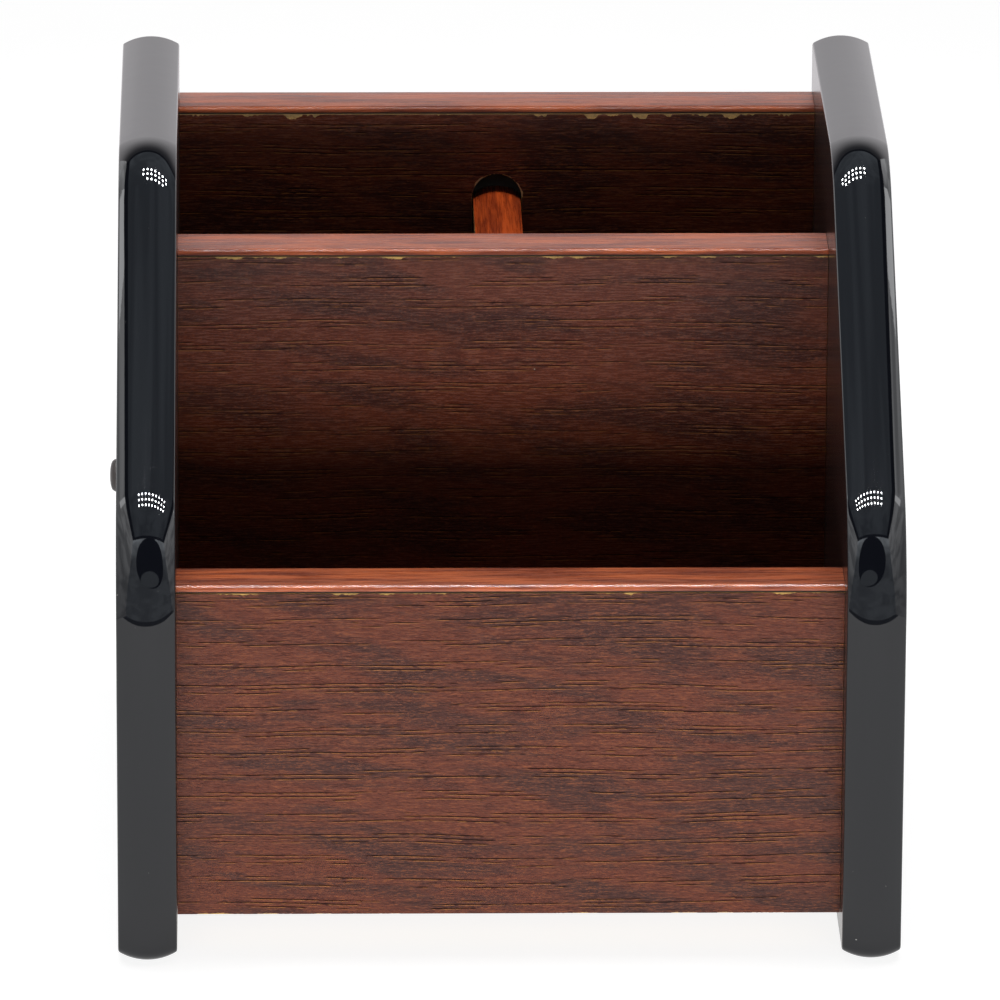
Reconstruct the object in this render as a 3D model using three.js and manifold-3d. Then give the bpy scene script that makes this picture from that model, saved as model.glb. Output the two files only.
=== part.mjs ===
// Three-compartment desk pen holder: two thick lacquered cheeks carry a front, a middle and a back
// board and a base board. The boards are faced with laminate and banded along their top edges, and a
// divider stands in two routed grooves between the middle and the back board.
// Millimetres, +Z up, front towards -Y, the origin at the middle of the footprint.

import * as THREE from 'three';
import { mergeVertices } from 'three/addons/utils/BufferGeometryUtils.js';
import Module from 'manifold-3d';

// ---- Driving dimensions ----

// Whole object
const INNER_WIDTH = 135; // between the two cheeks
const CHEEK_DEPTH = 170;
const CHEEK_HEIGHT = 147;
const CHEEK_FRONT_HEIGHT = 88; // upright part of the cheek's front edge
const CHEEK_SLOPE_DEPTH = 84; // horizontal run of the sloping edge
const BOARD_LIFT = 7; // the boards stop this far above the desk

// Board stock, shared by the cheeks and the boards
const BOARD_THICKNESS = 12;
const LAMINATE_THICKNESS = 0.5;
const EDGE_BAND_HEIGHT = 1.5;
const EDGE_BAND_ROUNDING = 1.2;
const GLUE_GAP = 0.05;

// Rounding of the cheeks
const SLOPE_BEND_RADIUS = 30;
const CHEEK_CORNER_RADIUS = 3.2;
const EDGE_CROWN_DROP = 1.1; // how far the crowned edge falls from its middle to its shoulders
const EDGE_SHOULDER_RADIUS = 0.7;
const FOOT_FLAT_WIDTH = 3; // flat strip left along the middle of the crown
const CROWN_STEPS = 3;
const SHOULDER_STEPS = 2;
const BEND_STEPS = 8;
const CORNER_STEPS = 4;

// Boards: the distance of each front face behind the cheeks' front edge, and the height of its top
const FRONT_BOARD = { name: 'front_panel', setback: 10, top: 77.6 };
const MIDDLE_BOARD = { name: 'middle_panel', setback: 91, top: 123.2 };
const BACK_BOARD = { name: 'back_panel', setback: 154, top: 135.1 };

// Divider and the grooves that hold it
const DIVIDER_THICKNESS = 10;
const DIVIDER_TOP = 116.2;
const DIVIDER_CROWN_DROP = 1.6;
const GROOVE_DEPTH = 5;
const GROOVE_CLEARANCE = 0.3;
const GROOVE_TOP = 120.2;

// Dowels and screws
const DOWEL_DIAMETER = 6;
const DOWEL_LENGTH = 24;
const DOWEL_IN_CHEEK = 8;
const DOWEL_CHAMFER = 0.8;
const FRONT_DOWEL_HEIGHTS = [27, 62];
const MIDDLE_DOWEL_HEIGHTS = [36, 106];
const BACK_DOWEL_HEIGHTS = [30, 112];
const BASE_DOWEL_SETBACKS = [46, 128];
const BORE_CLEARANCE = 0.3;
const SCREW_HEIGHT = 72; // height of the screws above the desk
const SCREW_SHANK_DIAMETER = 3.5;
const SCREW_LENGTH = 30;
const SCREW_HEAD_DIAMETER = 6;
const SCREW_HEAD_HEIGHT = 2.2;
const CAP_DIAMETER = 6.8;
const CAP_PROUD = 2.3;
const CAP_STEM_DIAMETER = 5.4;
const CAP_STEM_LENGTH = 1.3;
const CAP_SEAT_GAP = 0.05;

const ROUND_SEGMENTS = 24;
const GROOVE_SEGMENTS = 14;
const BAND_SEGMENTS = 5;
const CROWN_SEGMENTS = 8;
const OVERCUT = 1; // how far a cutting tool reaches past the face that it opens

// ---- Positions worked out from them ----

const CHEEK_INNER_X = INNER_WIDTH / 2;
const CHEEK_OUTER_X = CHEEK_INNER_X + BOARD_THICKNESS;
const FRONT_Y = -CHEEK_DEPTH / 2;
const CORE_THICKNESS = BOARD_THICKNESS - 2 * LAMINATE_THICKNESS - 2 * GLUE_GAP;
const BOARD_LENGTH = INNER_WIDTH - 2 * GLUE_GAP;
const BASE_TOP = BOARD_LIFT + BOARD_THICKNESS;
const BORE_DIAMETER = DOWEL_DIAMETER + 2 * BORE_CLEARANCE;
const RECESS_DEPTH = SCREW_HEAD_HEIGHT + CAP_STEM_LENGTH + 2 * BORE_CLEARANCE;
const RECESS_DIAMETER = SCREW_HEAD_DIAMETER + 2 * BORE_CLEARANCE;
const SHANK_BORE_DIAMETER = SCREW_SHANK_DIAMETER + 2 * BORE_CLEARANCE;
const boardFrontY = (board) => FRONT_Y + board.setback;
const boardMiddleY = (board) => boardFrontY(board) + BOARD_THICKNESS / 2;
const boardBackY = (board) => boardFrontY(board) + BOARD_THICKNESS;
const SCREW_Y = boardMiddleY(MIDDLE_BOARD);

// Where the dowels sit in the ends of each board, as [y, z]
const DOWEL_PLACES = {
  front_panel: FRONT_DOWEL_HEIGHTS.map((z) => [boardMiddleY(FRONT_BOARD), z]),
  middle_panel: MIDDLE_DOWEL_HEIGHTS.map((z) => [boardMiddleY(MIDDLE_BOARD), z]),
  back_panel: BACK_DOWEL_HEIGHTS.map((z) => [boardMiddleY(BACK_BOARD), z]),
  base_panel: BASE_DOWEL_SETBACKS.map((setback) => [FRONT_Y + setback, BOARD_LIFT + BOARD_THICKNESS / 2]),
};

// ---- Materials ----

const finishes = {
  lacquer: { color: 0x0b0c0e, roughness: 0.08, metalness: 0 },
  laminate: { color: 0x54281c, roughness: 0.42, metalness: 0 },
  fibreboard: { color: 0xb59468, roughness: 0.9, metalness: 0 },
  edge_band: { color: 0x9a4a30, roughness: 0.3, metalness: 0 },
  beech: { color: 0xcfae82, roughness: 0.75, metalness: 0 },
  steel: { color: 0xb9bcc0, roughness: 0.35, metalness: 0.9 },
  cap: { color: 0x2b2422, roughness: 0.5, metalness: 0 },
};

const holder = new THREE.Group();

function addPiece(name, geometry, finish, place = [0, 0, 0]) {
  const mesh = new THREE.Mesh(geometry, new THREE.MeshStandardMaterial(finishes[finish]));
  mesh.name = name;
  mesh.position.set(...place);
  holder.add(mesh);
}

// ---- Solids and cuts ----

const MERGE_DISTANCE = 1e-4;

const wasm = await Module();
wasm.setup();

function toSolid(geometry) {
  const bare = geometry.clone();
  bare.deleteAttribute('normal');
  bare.deleteAttribute('uv');
  const merged = mergeVertices(bare, MERGE_DISTANCE);
  return new wasm.Manifold(new wasm.Mesh({
    numProp: 3,
    vertProperties: new Float32Array(merged.attributes.position.array),
    triVerts: new Uint32Array(merged.index.array),
  }));
}

function toGeometry(solid) {
  const mesh = solid.getMesh();
  const geometry = new THREE.BufferGeometry();
  geometry.setAttribute('position', new THREE.BufferAttribute(new Float32Array(mesh.vertProperties), 3));
  geometry.setIndex(new THREE.BufferAttribute(new Uint32Array(mesh.triVerts), 1));
  geometry.computeVertexNormals();
  return geometry;
}

function cut(geometry, tools) {
  return toGeometry(tools.reduce((solid, tool) => solid.subtract(toSolid(tool)), toSolid(geometry)));
}

// A box given by its low and high corners
function block(low, high) {
  const size = high.map((value, axis) => value - low[axis]);
  const middle = high.map((value, axis) => (value + low[axis]) / 2);
  return new THREE.BoxGeometry(...size).translate(...middle);
}

// A round piece about the X axis: the profile holds [x, radius] pairs and starts and ends on the axis
function turnedAlongX(profile) {
  const points = profile.map(([x, radius]) => new THREE.Vector2(radius, x));
  return new THREE.LatheGeometry(points, ROUND_SEGMENTS).rotateZ(-Math.PI / 2);
}

// A blind or through bore along X, from x = from to x = to
function boreAlongX(diameter, from, to, y, z) {
  const radius = diameter / 2;
  return turnedAlongX([[from, 0], [from, radius], [to, radius], [to, 0]]).translate(0, y, z);
}

// ---- Cheeks ----

// Corners of a cheek's outline in the YZ plane, y counted from its front edge
const CORNER = { radius: CHEEK_CORNER_RADIUS, steps: CORNER_STEPS };
const BEND = { radius: SLOPE_BEND_RADIUS, steps: BEND_STEPS };
const CHEEK_CORNERS = [
  { y: 0, z: 0, ...CORNER },
  { y: CHEEK_DEPTH, z: 0, ...CORNER },
  { y: CHEEK_DEPTH, z: CHEEK_HEIGHT, ...CORNER },
  { y: CHEEK_SLOPE_DEPTH, z: CHEEK_HEIGHT, ...BEND },
  { y: 0, z: CHEEK_FRONT_HEIGHT, ...BEND },
];

// The rounded outline, moved inwards by inset
function cheekOutline(inset) {
  const outline = [];
  CHEEK_CORNERS.forEach((corner, index) => {
    const before = CHEEK_CORNERS.at(index - 1);
    const after = CHEEK_CORNERS[(index + 1) % CHEEK_CORNERS.length];
    const inward = Math.atan2(corner.z - before.z, corner.y - before.y);
    const outward = Math.atan2(after.z - corner.z, after.y - corner.y);
    const turn = THREE.MathUtils.euclideanModulo(outward - inward, 2 * Math.PI);
    const toCentre = corner.radius / Math.cos(turn / 2);
    const bisector = inward + turn / 2 + Math.PI / 2;
    const centreY = corner.y + toCentre * Math.cos(bisector);
    const centreZ = corner.z + toCentre * Math.sin(bisector);
    for (let step = 0; step <= corner.steps; step += 1) {
      const angle = inward - Math.PI / 2 + (turn * step) / corner.steps;
      const radius = corner.radius - inset;
      outline.push([centreY + radius * Math.cos(angle), centreZ + radius * Math.sin(angle)]);
    }
  });
  return outline;
}

// Sections across the thickness as { across, inset }: a crown with a small round shoulder on each side
function crownSections() {
  const flatHalf = FOOT_FLAT_WIDTH / 2;
  const crownHalf = BOARD_THICKNESS / 2 - EDGE_SHOULDER_RADIUS;
  const side = [{ across: flatHalf, inset: 0 }];
  for (let step = 1; step <= CROWN_STEPS; step += 1) {
    const across = flatHalf + ((crownHalf - flatHalf) * step) / CROWN_STEPS;
    side.push({ across, inset: EDGE_CROWN_DROP * (across / crownHalf) ** 2 });
  }
  for (let step = 1; step <= SHOULDER_STEPS; step += 1) {
    const angle = (Math.PI / 2) * (step / SHOULDER_STEPS);
    side.push({
      across: crownHalf + EDGE_SHOULDER_RADIUS * Math.sin(angle),
      inset: EDGE_CROWN_DROP + EDGE_SHOULDER_RADIUS * (1 - Math.cos(angle)),
    });
  }
  return [...side.map(({ across, inset }) => ({ across: -across, inset })).reverse(), ...side];
}

// A cheek without its bores: the crowned sections joined ring to ring, with a flat face on each side
function cheekBlank() {
  const rings = crownSections().map(({ across, inset }) => (
    cheekOutline(inset).map(([y, z]) => [across, y + FRONT_Y, z])
  ));
  const count = rings[0].length;
  const faces = [];
  for (let ring = 0; ring + 1 < rings.length; ring += 1) {
    for (let point = 0; point < count; point += 1) {
      const next = (point + 1) % count;
      const here = ring * count;
      const there = here + count;
      faces.push(here + point, here + next, there + next, here + point, there + next, there + point);
    }
  }
  const lastRing = (rings.length - 1) * count;
  for (let point = 1; point + 1 < count; point += 1) {
    faces.push(0, point + 1, point);
    faces.push(lastRing, lastRing + point, lastRing + point + 1);
  }
  const geometry = new THREE.BufferGeometry();
  geometry.setAttribute('position', new THREE.Float32BufferAttribute(rings.flat(2), 3));
  geometry.setIndex(faces);
  return geometry;
}

// side is -1 for the left cheek and 1 for the right one
function addCheek(name, side) {
  const blank = cheekBlank().translate(side * (CHEEK_INNER_X + BOARD_THICKNESS / 2), 0, 0);
  const innerFace = side * (CHEEK_INNER_X - OVERCUT);
  const boreEnd = side * (CHEEK_INNER_X + DOWEL_IN_CHEEK + BORE_CLEARANCE);
  const dowelBores = Object.values(DOWEL_PLACES).flat().map(([y, z]) => (
    boreAlongX(BORE_DIAMETER, Math.min(innerFace, boreEnd), Math.max(innerFace, boreEnd), y, z)
  ));
  const through = side * (CHEEK_OUTER_X + OVERCUT);
  const recessFloor = side * (CHEEK_OUTER_X - RECESS_DEPTH);
  const shankBore = boreAlongX(
    SHANK_BORE_DIAMETER, Math.min(innerFace, through), Math.max(innerFace, through), SCREW_Y, SCREW_HEIGHT,
  );
  const recess = boreAlongX(
    RECESS_DIAMETER, Math.min(recessFloor, through), Math.max(recessFloor, through), SCREW_Y, SCREW_HEIGHT,
  );
  addPiece(name, cut(blank, [...dowelBores, shankBore, recess]), 'lacquer');
}

// ---- Screws and their caps ----

// Shares of the height and the radius at which the rounding of a screw head and of a cap changes
const HEAD_RIM_HEIGHT = 0.6;
const HEAD_TOP_RADIUS = 0.55;
const CAP_RIM_HEIGHT = 0.55;
const CAP_SHOULDER = { height: 0.85, radius: 0.88 };
const CAP_TOP_RADIUS = 0.6;

function addRoundPiece(name, profile, finish, side, x) {
  const piece = turnedAlongX(profile);
  addPiece(name, side < 0 ? piece.rotateZ(Math.PI) : piece, finish, [side * x, SCREW_Y, SCREW_HEIGHT]);
}

function addScrew(name, side) {
  const shank = SCREW_SHANK_DIAMETER / 2;
  const head = SCREW_HEAD_DIAMETER / 2;
  const pointStart = -SCREW_LENGTH + SCREW_SHANK_DIAMETER;
  addRoundPiece(name, [
    [-SCREW_LENGTH, 0], [pointStart, shank], [0, shank], [0, head],
    [SCREW_HEAD_HEIGHT * HEAD_RIM_HEIGHT, head], [SCREW_HEAD_HEIGHT, head * HEAD_TOP_RADIUS],
    [SCREW_HEAD_HEIGHT, 0],
  ], 'steel', side, CHEEK_OUTER_X - RECESS_DEPTH + CAP_SEAT_GAP);
}

function addScrewCap(name, side) {
  const stem = CAP_STEM_DIAMETER / 2;
  const brim = CAP_DIAMETER / 2;
  addRoundPiece(name, [
    [-CAP_STEM_LENGTH, 0], [-CAP_STEM_LENGTH, stem], [0, stem], [0, brim],
    [CAP_PROUD * CAP_RIM_HEIGHT, brim],
    [CAP_PROUD * CAP_SHOULDER.height, brim * CAP_SHOULDER.radius],
    [CAP_PROUD, brim * CAP_TOP_RADIUS], [CAP_PROUD, 0],
  ], 'cap', side, CHEEK_OUTER_X + CAP_SEAT_GAP);
}

// Pilot bores for the screws in the two ends of the middle board
function screwPilots() {
  const reach = CHEEK_OUTER_X - RECESS_DEPTH - SCREW_LENGTH - OVERCUT;
  return [
    boreAlongX(SHANK_BORE_DIAMETER, -CHEEK_INNER_X - OVERCUT, -reach, SCREW_Y, SCREW_HEIGHT),
    boreAlongX(SHANK_BORE_DIAMETER, reach, CHEEK_INNER_X + OVERCUT, SCREW_Y, SCREW_HEIGHT),
  ];
}

// ---- Dowels ----

function addDowels() {
  const chamfered = DOWEL_DIAMETER / 2 - DOWEL_CHAMFER;
  Object.entries(DOWEL_PLACES).forEach(([board, places]) => {
    places.forEach(([y, z], place) => {
      [-1, 1].forEach((side) => {
        const dowel = turnedAlongX([
          [-DOWEL_LENGTH / 2, 0], [-DOWEL_LENGTH / 2, chamfered],
          [-DOWEL_LENGTH / 2 + DOWEL_CHAMFER, DOWEL_DIAMETER / 2],
          [DOWEL_LENGTH / 2 - DOWEL_CHAMFER, DOWEL_DIAMETER / 2],
          [DOWEL_LENGTH / 2, chamfered], [DOWEL_LENGTH / 2, 0],
        ]);
        const x = side * (CHEEK_INNER_X + DOWEL_IN_CHEEK - DOWEL_LENGTH / 2);
        const name = `dowel_${board.replace('_panel', '')}_${side < 0 ? 'left' : 'right'}_${place + 1}`;
        addPiece(name, dowel, 'beech', [x, y, z]);
      });
    });
  });
}

// The bores in both ends of a board for its dowels
function endBores(boardName) {
  const depth = DOWEL_LENGTH - DOWEL_IN_CHEEK + BORE_CLEARANCE;
  return DOWEL_PLACES[boardName].flatMap(([y, z]) => [
    boreAlongX(BORE_DIAMETER, -CHEEK_INNER_X - OVERCUT, -CHEEK_INNER_X + depth, y, z),
    boreAlongX(BORE_DIAMETER, CHEEK_INNER_X - depth, CHEEK_INNER_X + OVERCUT, y, z),
  ]);
}

// ---- Boards ----

// A groove with a round closed top, open at the bottom, cut from y = from to y = to
function dividerGroove(from, to, bottom) {
  const half = DIVIDER_THICKNESS / 2 + GROOVE_CLEARANCE;
  const shape = new THREE.Shape();
  shape.moveTo(half, bottom);
  shape.lineTo(half, GROOVE_TOP - half);
  shape.absarc(0, GROOVE_TOP - half, half, 0, Math.PI, false);
  shape.lineTo(-half, bottom);
  shape.closePath();
  const groove = new THREE.ExtrudeGeometry(shape, {
    depth: to - from, bevelEnabled: false, curveSegments: GROOVE_SEGMENTS,
  });
  return groove.rotateX(Math.PI / 2).translate(0, to, 0);
}

// The band along a board's top edge: a strip with both long edges rounded
function edgeBand(length, thickness, rounding) {
  const half = thickness / 2;
  const shape = new THREE.Shape();
  shape.moveTo(-half, 0);
  shape.lineTo(half, 0);
  shape.lineTo(half, EDGE_BAND_HEIGHT - rounding);
  shape.absarc(half - rounding, EDGE_BAND_HEIGHT - rounding, rounding, 0, Math.PI / 2, false);
  shape.absarc(rounding - half, EDGE_BAND_HEIGHT - rounding, rounding, Math.PI / 2, Math.PI, false);
  shape.closePath();
  const band = new THREE.ExtrudeGeometry(shape, {
    depth: length, bevelEnabled: false, curveSegments: BAND_SEGMENTS,
  });
  return band.rotateX(Math.PI / 2).rotateZ(Math.PI / 2).translate(-length / 2, 0, 0);
}

// An upright board: core, a laminate on each face and a band on top. grooveSide is -1 or 1 for the face
// that holds the divider, or 0; extraCuts are further bores in the core.
function addUprightBoard(board, bottom, grooveSide, extraCuts = []) {
  const middleY = boardMiddleY(board);
  const half = BOARD_LENGTH / 2;
  const bodyTop = board.top - EDGE_BAND_HEIGHT - GLUE_GAP;
  const coreHalf = CORE_THICKNESS / 2;
  const cuts = [...endBores(board.name), ...extraCuts];
  const faces = [
    { side: -1, name: `${board.name}_front_laminate` },
    { side: 1, name: `${board.name}_rear_laminate` },
  ];
  const grooveFloor = middleY + grooveSide * (BOARD_THICKNESS / 2 - GROOVE_DEPTH);
  const grooveMouth = middleY + grooveSide * (BOARD_THICKNESS / 2 + OVERCUT);
  const grooveCut = () => dividerGroove(
    Math.min(grooveFloor, grooveMouth), Math.max(grooveFloor, grooveMouth), BOARD_LIFT - OVERCUT,
  );
  const core = block([-half, middleY - coreHalf, bottom], [half, middleY + coreHalf, bodyTop]);
  addPiece(`${board.name}_core`, cut(core, grooveSide ? [...cuts, grooveCut()] : cuts), 'fibreboard');
  faces.forEach(({ side, name }) => {
    const outer = middleY + side * (BOARD_THICKNESS / 2);
    const inner = outer - side * LAMINATE_THICKNESS;
    const sheet = block([-half, Math.min(outer, inner), bottom], [half, Math.max(outer, inner), bodyTop]);
    addPiece(name, side === grooveSide ? cut(sheet, [grooveCut()]) : sheet, 'laminate');
  });
  const band = edgeBand(BOARD_LENGTH, BOARD_THICKNESS, EDGE_BAND_ROUNDING);
  addPiece(`${board.name}_edge_band`, band, 'edge_band', [0, middleY, board.top - EDGE_BAND_HEIGHT]);
}

function addBase() {
  const half = BOARD_LENGTH / 2;
  const low = boardBackY(FRONT_BOARD) + GLUE_GAP;
  const high = boardFrontY(BACK_BOARD) - GLUE_GAP;
  const skin = LAMINATE_THICKNESS;
  const core = block([-half, low, BOARD_LIFT + skin + GLUE_GAP], [half, high, BASE_TOP - skin - GLUE_GAP]);
  addPiece('base_panel_core', cut(core, endBores('base_panel')), 'fibreboard');
  const topLaminate = block([-half, low, BASE_TOP - skin], [half, high, BASE_TOP]);
  addPiece('base_panel_top_laminate', topLaminate, 'laminate');
  const bottomLaminate = block([-half, low, BOARD_LIFT], [half, high, BOARD_LIFT + skin]);
  addPiece('base_panel_bottom_laminate', bottomLaminate, 'laminate');
}

// ---- Divider ----

// A strip as thick as the divider with a crowned top
function crownedBand(length) {
  const half = DIVIDER_THICKNESS / 2;
  const drop = DIVIDER_CROWN_DROP;
  const radius = (half ** 2 + drop ** 2) / (2 * drop);
  const spread = Math.asin(half / radius);
  const shape = new THREE.Shape();
  shape.moveTo(-half, 0);
  shape.lineTo(half, 0);
  const centre = EDGE_BAND_HEIGHT + drop - radius;
  shape.absarc(0, centre, radius, Math.PI / 2 - spread, Math.PI / 2 + spread, false);
  shape.closePath();
  const band = new THREE.ExtrudeGeometry(shape, {
    depth: length, bevelEnabled: false, curveSegments: CROWN_SEGMENTS,
  });
  return band.rotateX(Math.PI / 2).translate(0, length / 2, 0);
}

function addDivider() {
  const endGap = GROOVE_CLEARANCE;
  const low = boardBackY(MIDDLE_BOARD) - GROOVE_DEPTH + endGap;
  const high = boardFrontY(BACK_BOARD) + GROOVE_DEPTH - endGap;
  const bottom = BASE_TOP + GLUE_GAP;
  const bandBottom = DIVIDER_TOP - EDGE_BAND_HEIGHT - DIVIDER_CROWN_DROP;
  const top = bandBottom - GLUE_GAP;
  const half = DIVIDER_THICKNESS / 2;
  const coreHalf = half - LAMINATE_THICKNESS - GLUE_GAP;
  addPiece('divider_core', block([-coreHalf, low, bottom], [coreHalf, high, top]), 'fibreboard');
  [{ side: -1, name: 'left' }, { side: 1, name: 'right' }].forEach(({ side, name }) => {
    const inner = side * (half - LAMINATE_THICKNESS);
    const outer = side * half;
    const sheet = block([Math.min(inner, outer), low, bottom], [Math.max(inner, outer), high, top]);
    addPiece(`divider_${name}_laminate`, sheet, 'laminate');
  });
  const band = crownedBand(high - low);
  addPiece('divider_edge_band', band, 'edge_band', [0, (low + high) / 2, bandBottom]);
}

// ---- Assembly ----

addCheek('left_cheek', -1);
addCheek('right_cheek', 1);
addUprightBoard(FRONT_BOARD, BOARD_LIFT, 0);
addUprightBoard(MIDDLE_BOARD, BASE_TOP + GLUE_GAP, 1, screwPilots());
addUprightBoard(BACK_BOARD, BOARD_LIFT, -1);
addBase();
addDivider();
addDowels();
[{ side: -1, hand: 'left' }, { side: 1, hand: 'right' }].forEach(({ side, hand }) => {
  addScrew(`${hand}_screw`, side);
  addScrewCap(`${hand}_screw_cap`, side);
});

export default holder;
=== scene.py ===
import math

import bmesh
import bpy
from bpy.props import FloatProperty, FloatVectorProperty, IntProperty, PointerProperty
from mathutils import Euler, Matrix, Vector, noise


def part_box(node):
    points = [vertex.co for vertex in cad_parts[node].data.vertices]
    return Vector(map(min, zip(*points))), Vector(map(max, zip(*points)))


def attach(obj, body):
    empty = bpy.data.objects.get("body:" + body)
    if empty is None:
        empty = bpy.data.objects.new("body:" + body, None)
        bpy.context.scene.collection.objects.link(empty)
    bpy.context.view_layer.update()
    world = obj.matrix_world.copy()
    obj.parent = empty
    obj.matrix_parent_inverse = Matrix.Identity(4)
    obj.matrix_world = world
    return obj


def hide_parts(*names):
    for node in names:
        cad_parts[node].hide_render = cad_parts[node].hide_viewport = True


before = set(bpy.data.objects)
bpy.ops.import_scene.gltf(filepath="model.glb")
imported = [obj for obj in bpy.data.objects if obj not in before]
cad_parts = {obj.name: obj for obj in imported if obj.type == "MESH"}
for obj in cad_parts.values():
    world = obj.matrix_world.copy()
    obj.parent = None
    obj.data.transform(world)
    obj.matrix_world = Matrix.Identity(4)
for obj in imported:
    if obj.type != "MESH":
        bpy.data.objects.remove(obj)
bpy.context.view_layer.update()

bl_info = {
    "name": "Lacquered Desk Pen Holder",
    "version": (1, 0, 0),
    "blender": (4, 5, 0),
    "location": "3D View > Sidebar > Pen Holder",
    "description": "Builds the finished look of a desk pen holder round its packed frame",
    "category": "Object",
}

MM = 0.001
BODY = "root"
UPRIGHT_BOARDS = ("front_panel", "middle_panel", "back_panel")
CHEEK_INNER_X = min(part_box("right_cheek")[0].x, -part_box("left_cheek")[1].x)
CHEEK_OUTER_X = max(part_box("right_cheek")[1].x, -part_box("left_cheek")[0].x)
BORE_CLEARANCE = 0.3 * MM
SHANK_BORE_RADIUS = 2.05 * MM
SCREW_RECESS_DEPTH = 4.1 * MM
GROOVE_TOP = 120.2 * MM


# ---- Settings ----

def length_setting(name, description, millimetres):
    return FloatProperty(name=name, description=description, default=millimetres * MM, unit="LENGTH")


def angle_setting(name, description, degrees):
    return FloatProperty(
        name=name, description=description, default=math.radians(degrees), subtype="ANGLE",
    )


def colour_setting(name, description, default):
    return FloatVectorProperty(
        name=name, description=description, default=default, subtype="COLOR", size=3,
    )


class PenHolderCheekSettings(bpy.types.PropertyGroup):
    crown_radius: length_setting("Crown radius", "Radius of the crown across the cheek's edge", 11.4)
    shoulder_radius: length_setting(
        "Shoulder radius", "Radius where the crown meets the flat side", 0.7,
    )
    bend_crown_radius: length_setting(
        "Crown radius at bends", "Radius of the crown where it tightens round a bend", 9.6,
    )
    tightening_reach: length_setting(
        "Tightening reach", "Distance from a bend at which its crown starts to tighten", 13.0,
    )
    corner_radius: length_setting("Corner radius", "Radius of the square corners of the outline", 3.2)
    bend_radius: length_setting("Bend radius", "Radius of the two bends of the sloping edge", 30.0)
    front_height: length_setting("Front height", "Height of the upright front edge", 88.0)
    slope_depth: length_setting("Slope depth", "Horizontal run of the sloping edge", 84.0)


class PenHolderBoardSettings(bpy.types.PropertyGroup):
    foil_thickness: length_setting(
        "Foil thickness", "Printed foil on the face of each laminate", 0.14,
    )
    top_chipping: length_setting("Top chipping", "Deepest chip in the foil along a board's top", 0.55)
    bottom_chipping: length_setting(
        "Bottom chipping", "Deepest chip in the foil along a board's bottom", 0.3,
    )
    groove_chipping: length_setting(
        "Groove chipping", "Deepest chip in the foil round the divider's groove", 0.5,
    )
    chip_spacing: length_setting("Chip spacing", "Distance between points along a chipped edge", 0.16)
    band_rounding: length_setting("Band rounding", "Radius of the long edges of an edge band", 1.0)
    # The glue line is painted near black, partly as painted shade of the gap under the band.
    glue_line: length_setting("Glue line", "Height of the dark glue line under a band", 0.36)
    glue_recess: length_setting(
        "Glue recess", "How far the glue line stands back from the band's face", 0.3,
    )


class PenHolderFixingSettings(bpy.types.PropertyGroup):
    flute_count: IntProperty(
        name="Flutes", description="Number of flutes round a dowel", default=16, min=6,
    )
    flute_depth: length_setting("Flute depth", "Depth of a dowel's flutes", 0.22)
    dowel_chamfer: length_setting("Dowel chamfer", "Chamfer at the ends of a dowel", 0.8)
    thread_pitch: length_setting(
        "Thread pitch", "Distance between the turns of the screw's thread", 1.5,
    )
    thread_depth: length_setting("Thread depth", "Height of the screw's thread", 0.55)


class PenHolderFinishSettings(bpy.types.PropertyGroup):
    lacquer: colour_setting("Lacquer", "Colour of the lacquered cheeks", (0.0035, 0.004, 0.006))
    wood_dark: colour_setting(
        "Laminate dark", "Dark figure of the laminate", (0.045, 0.0105, 0.0068),
    )
    wood_mid: colour_setting(
        "Laminate ground", "Ground colour of the laminate", (0.102, 0.019, 0.0068),
    )
    wood_light: colour_setting("Laminate light", "Light fibres of the laminate", (0.230, 0.060, 0.014))
    band_dark: colour_setting("Band dark", "Dark streaks of the edge bands", (0.13, 0.026, 0.012))
    band_light: colour_setting("Band light", "Light streaks of the edge bands", (0.38, 0.088, 0.026))
    core: colour_setting("Core", "Raw fibreboard", (0.56, 0.34, 0.10))
    beech: colour_setting("Beech", "Beech of the dowels", (0.62, 0.42, 0.24))
    cap: colour_setting("Screw cap", "Moulded plastic of the screw caps", (0.022, 0.017, 0.016))
    steel: colour_setting("Steel", "Zinc plated steel of the screws", (0.60, 0.61, 0.63))


class PenHolderStageSettings(bpy.types.PropertyGroup):
    lens: FloatProperty(
        name="Lens", description="Focal length of the camera in millimetres", default=394.7,
    )
    distance_back: length_setting(
        "Camera distance", "How far the camera stands in front of the origin", 2161.3,
    )
    camera_height: length_setting("Camera height", "Height of the camera", 804.96)
    camera_side: length_setting("Camera side", "Sideways place of the camera", -50.16)
    pitch: angle_setting("Pitch", "How far the camera looks down", 18.766)
    yaw: angle_setting("Yaw", "How far the camera turns to the right", 1.315)
    roll: angle_setting("Roll", "How far the camera leans", 0.301)
    ambient: FloatProperty(
        name="Ambient", description="Strength of the white surroundings", default=0.15,
    )
    top_light: FloatProperty(
        name="Top light", description="Power of the overhead light in watts", default=4.6,
    )
    bounce_light: FloatProperty(
        name="Bounce light", description="Power of the low light in front in watts", default=3.2,
    )


SETTINGS = {
    "pen_holder_cheeks": PenHolderCheekSettings,
    "pen_holder_boards": PenHolderBoardSettings,
    "pen_holder_fixings": PenHolderFixingSettings,
    "pen_holder_finishes": PenHolderFinishSettings,
    "pen_holder_stage": PenHolderStageSettings,
}


# ---- Mesh helpers ----

def add_object(name, data):
    """A new object at the origin, linked to the scene."""
    made = bpy.data.objects.new(name, data)
    bpy.context.scene.collection.objects.link(made)
    return made


def make_object(name, vertices, faces, materials, face_slots=None):
    """A mesh object at the origin; face_slots gives each face's material."""
    mesh = bpy.data.meshes.new(name)
    mesh.from_pydata([tuple(v) for v in vertices], [], faces)
    for finish in materials:
        mesh.materials.append(finish)
    if face_slots:
        mesh.polygons.foreach_set("material_index", face_slots)
    mesh.validate()
    mesh.update()
    return add_object(name, mesh)


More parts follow.
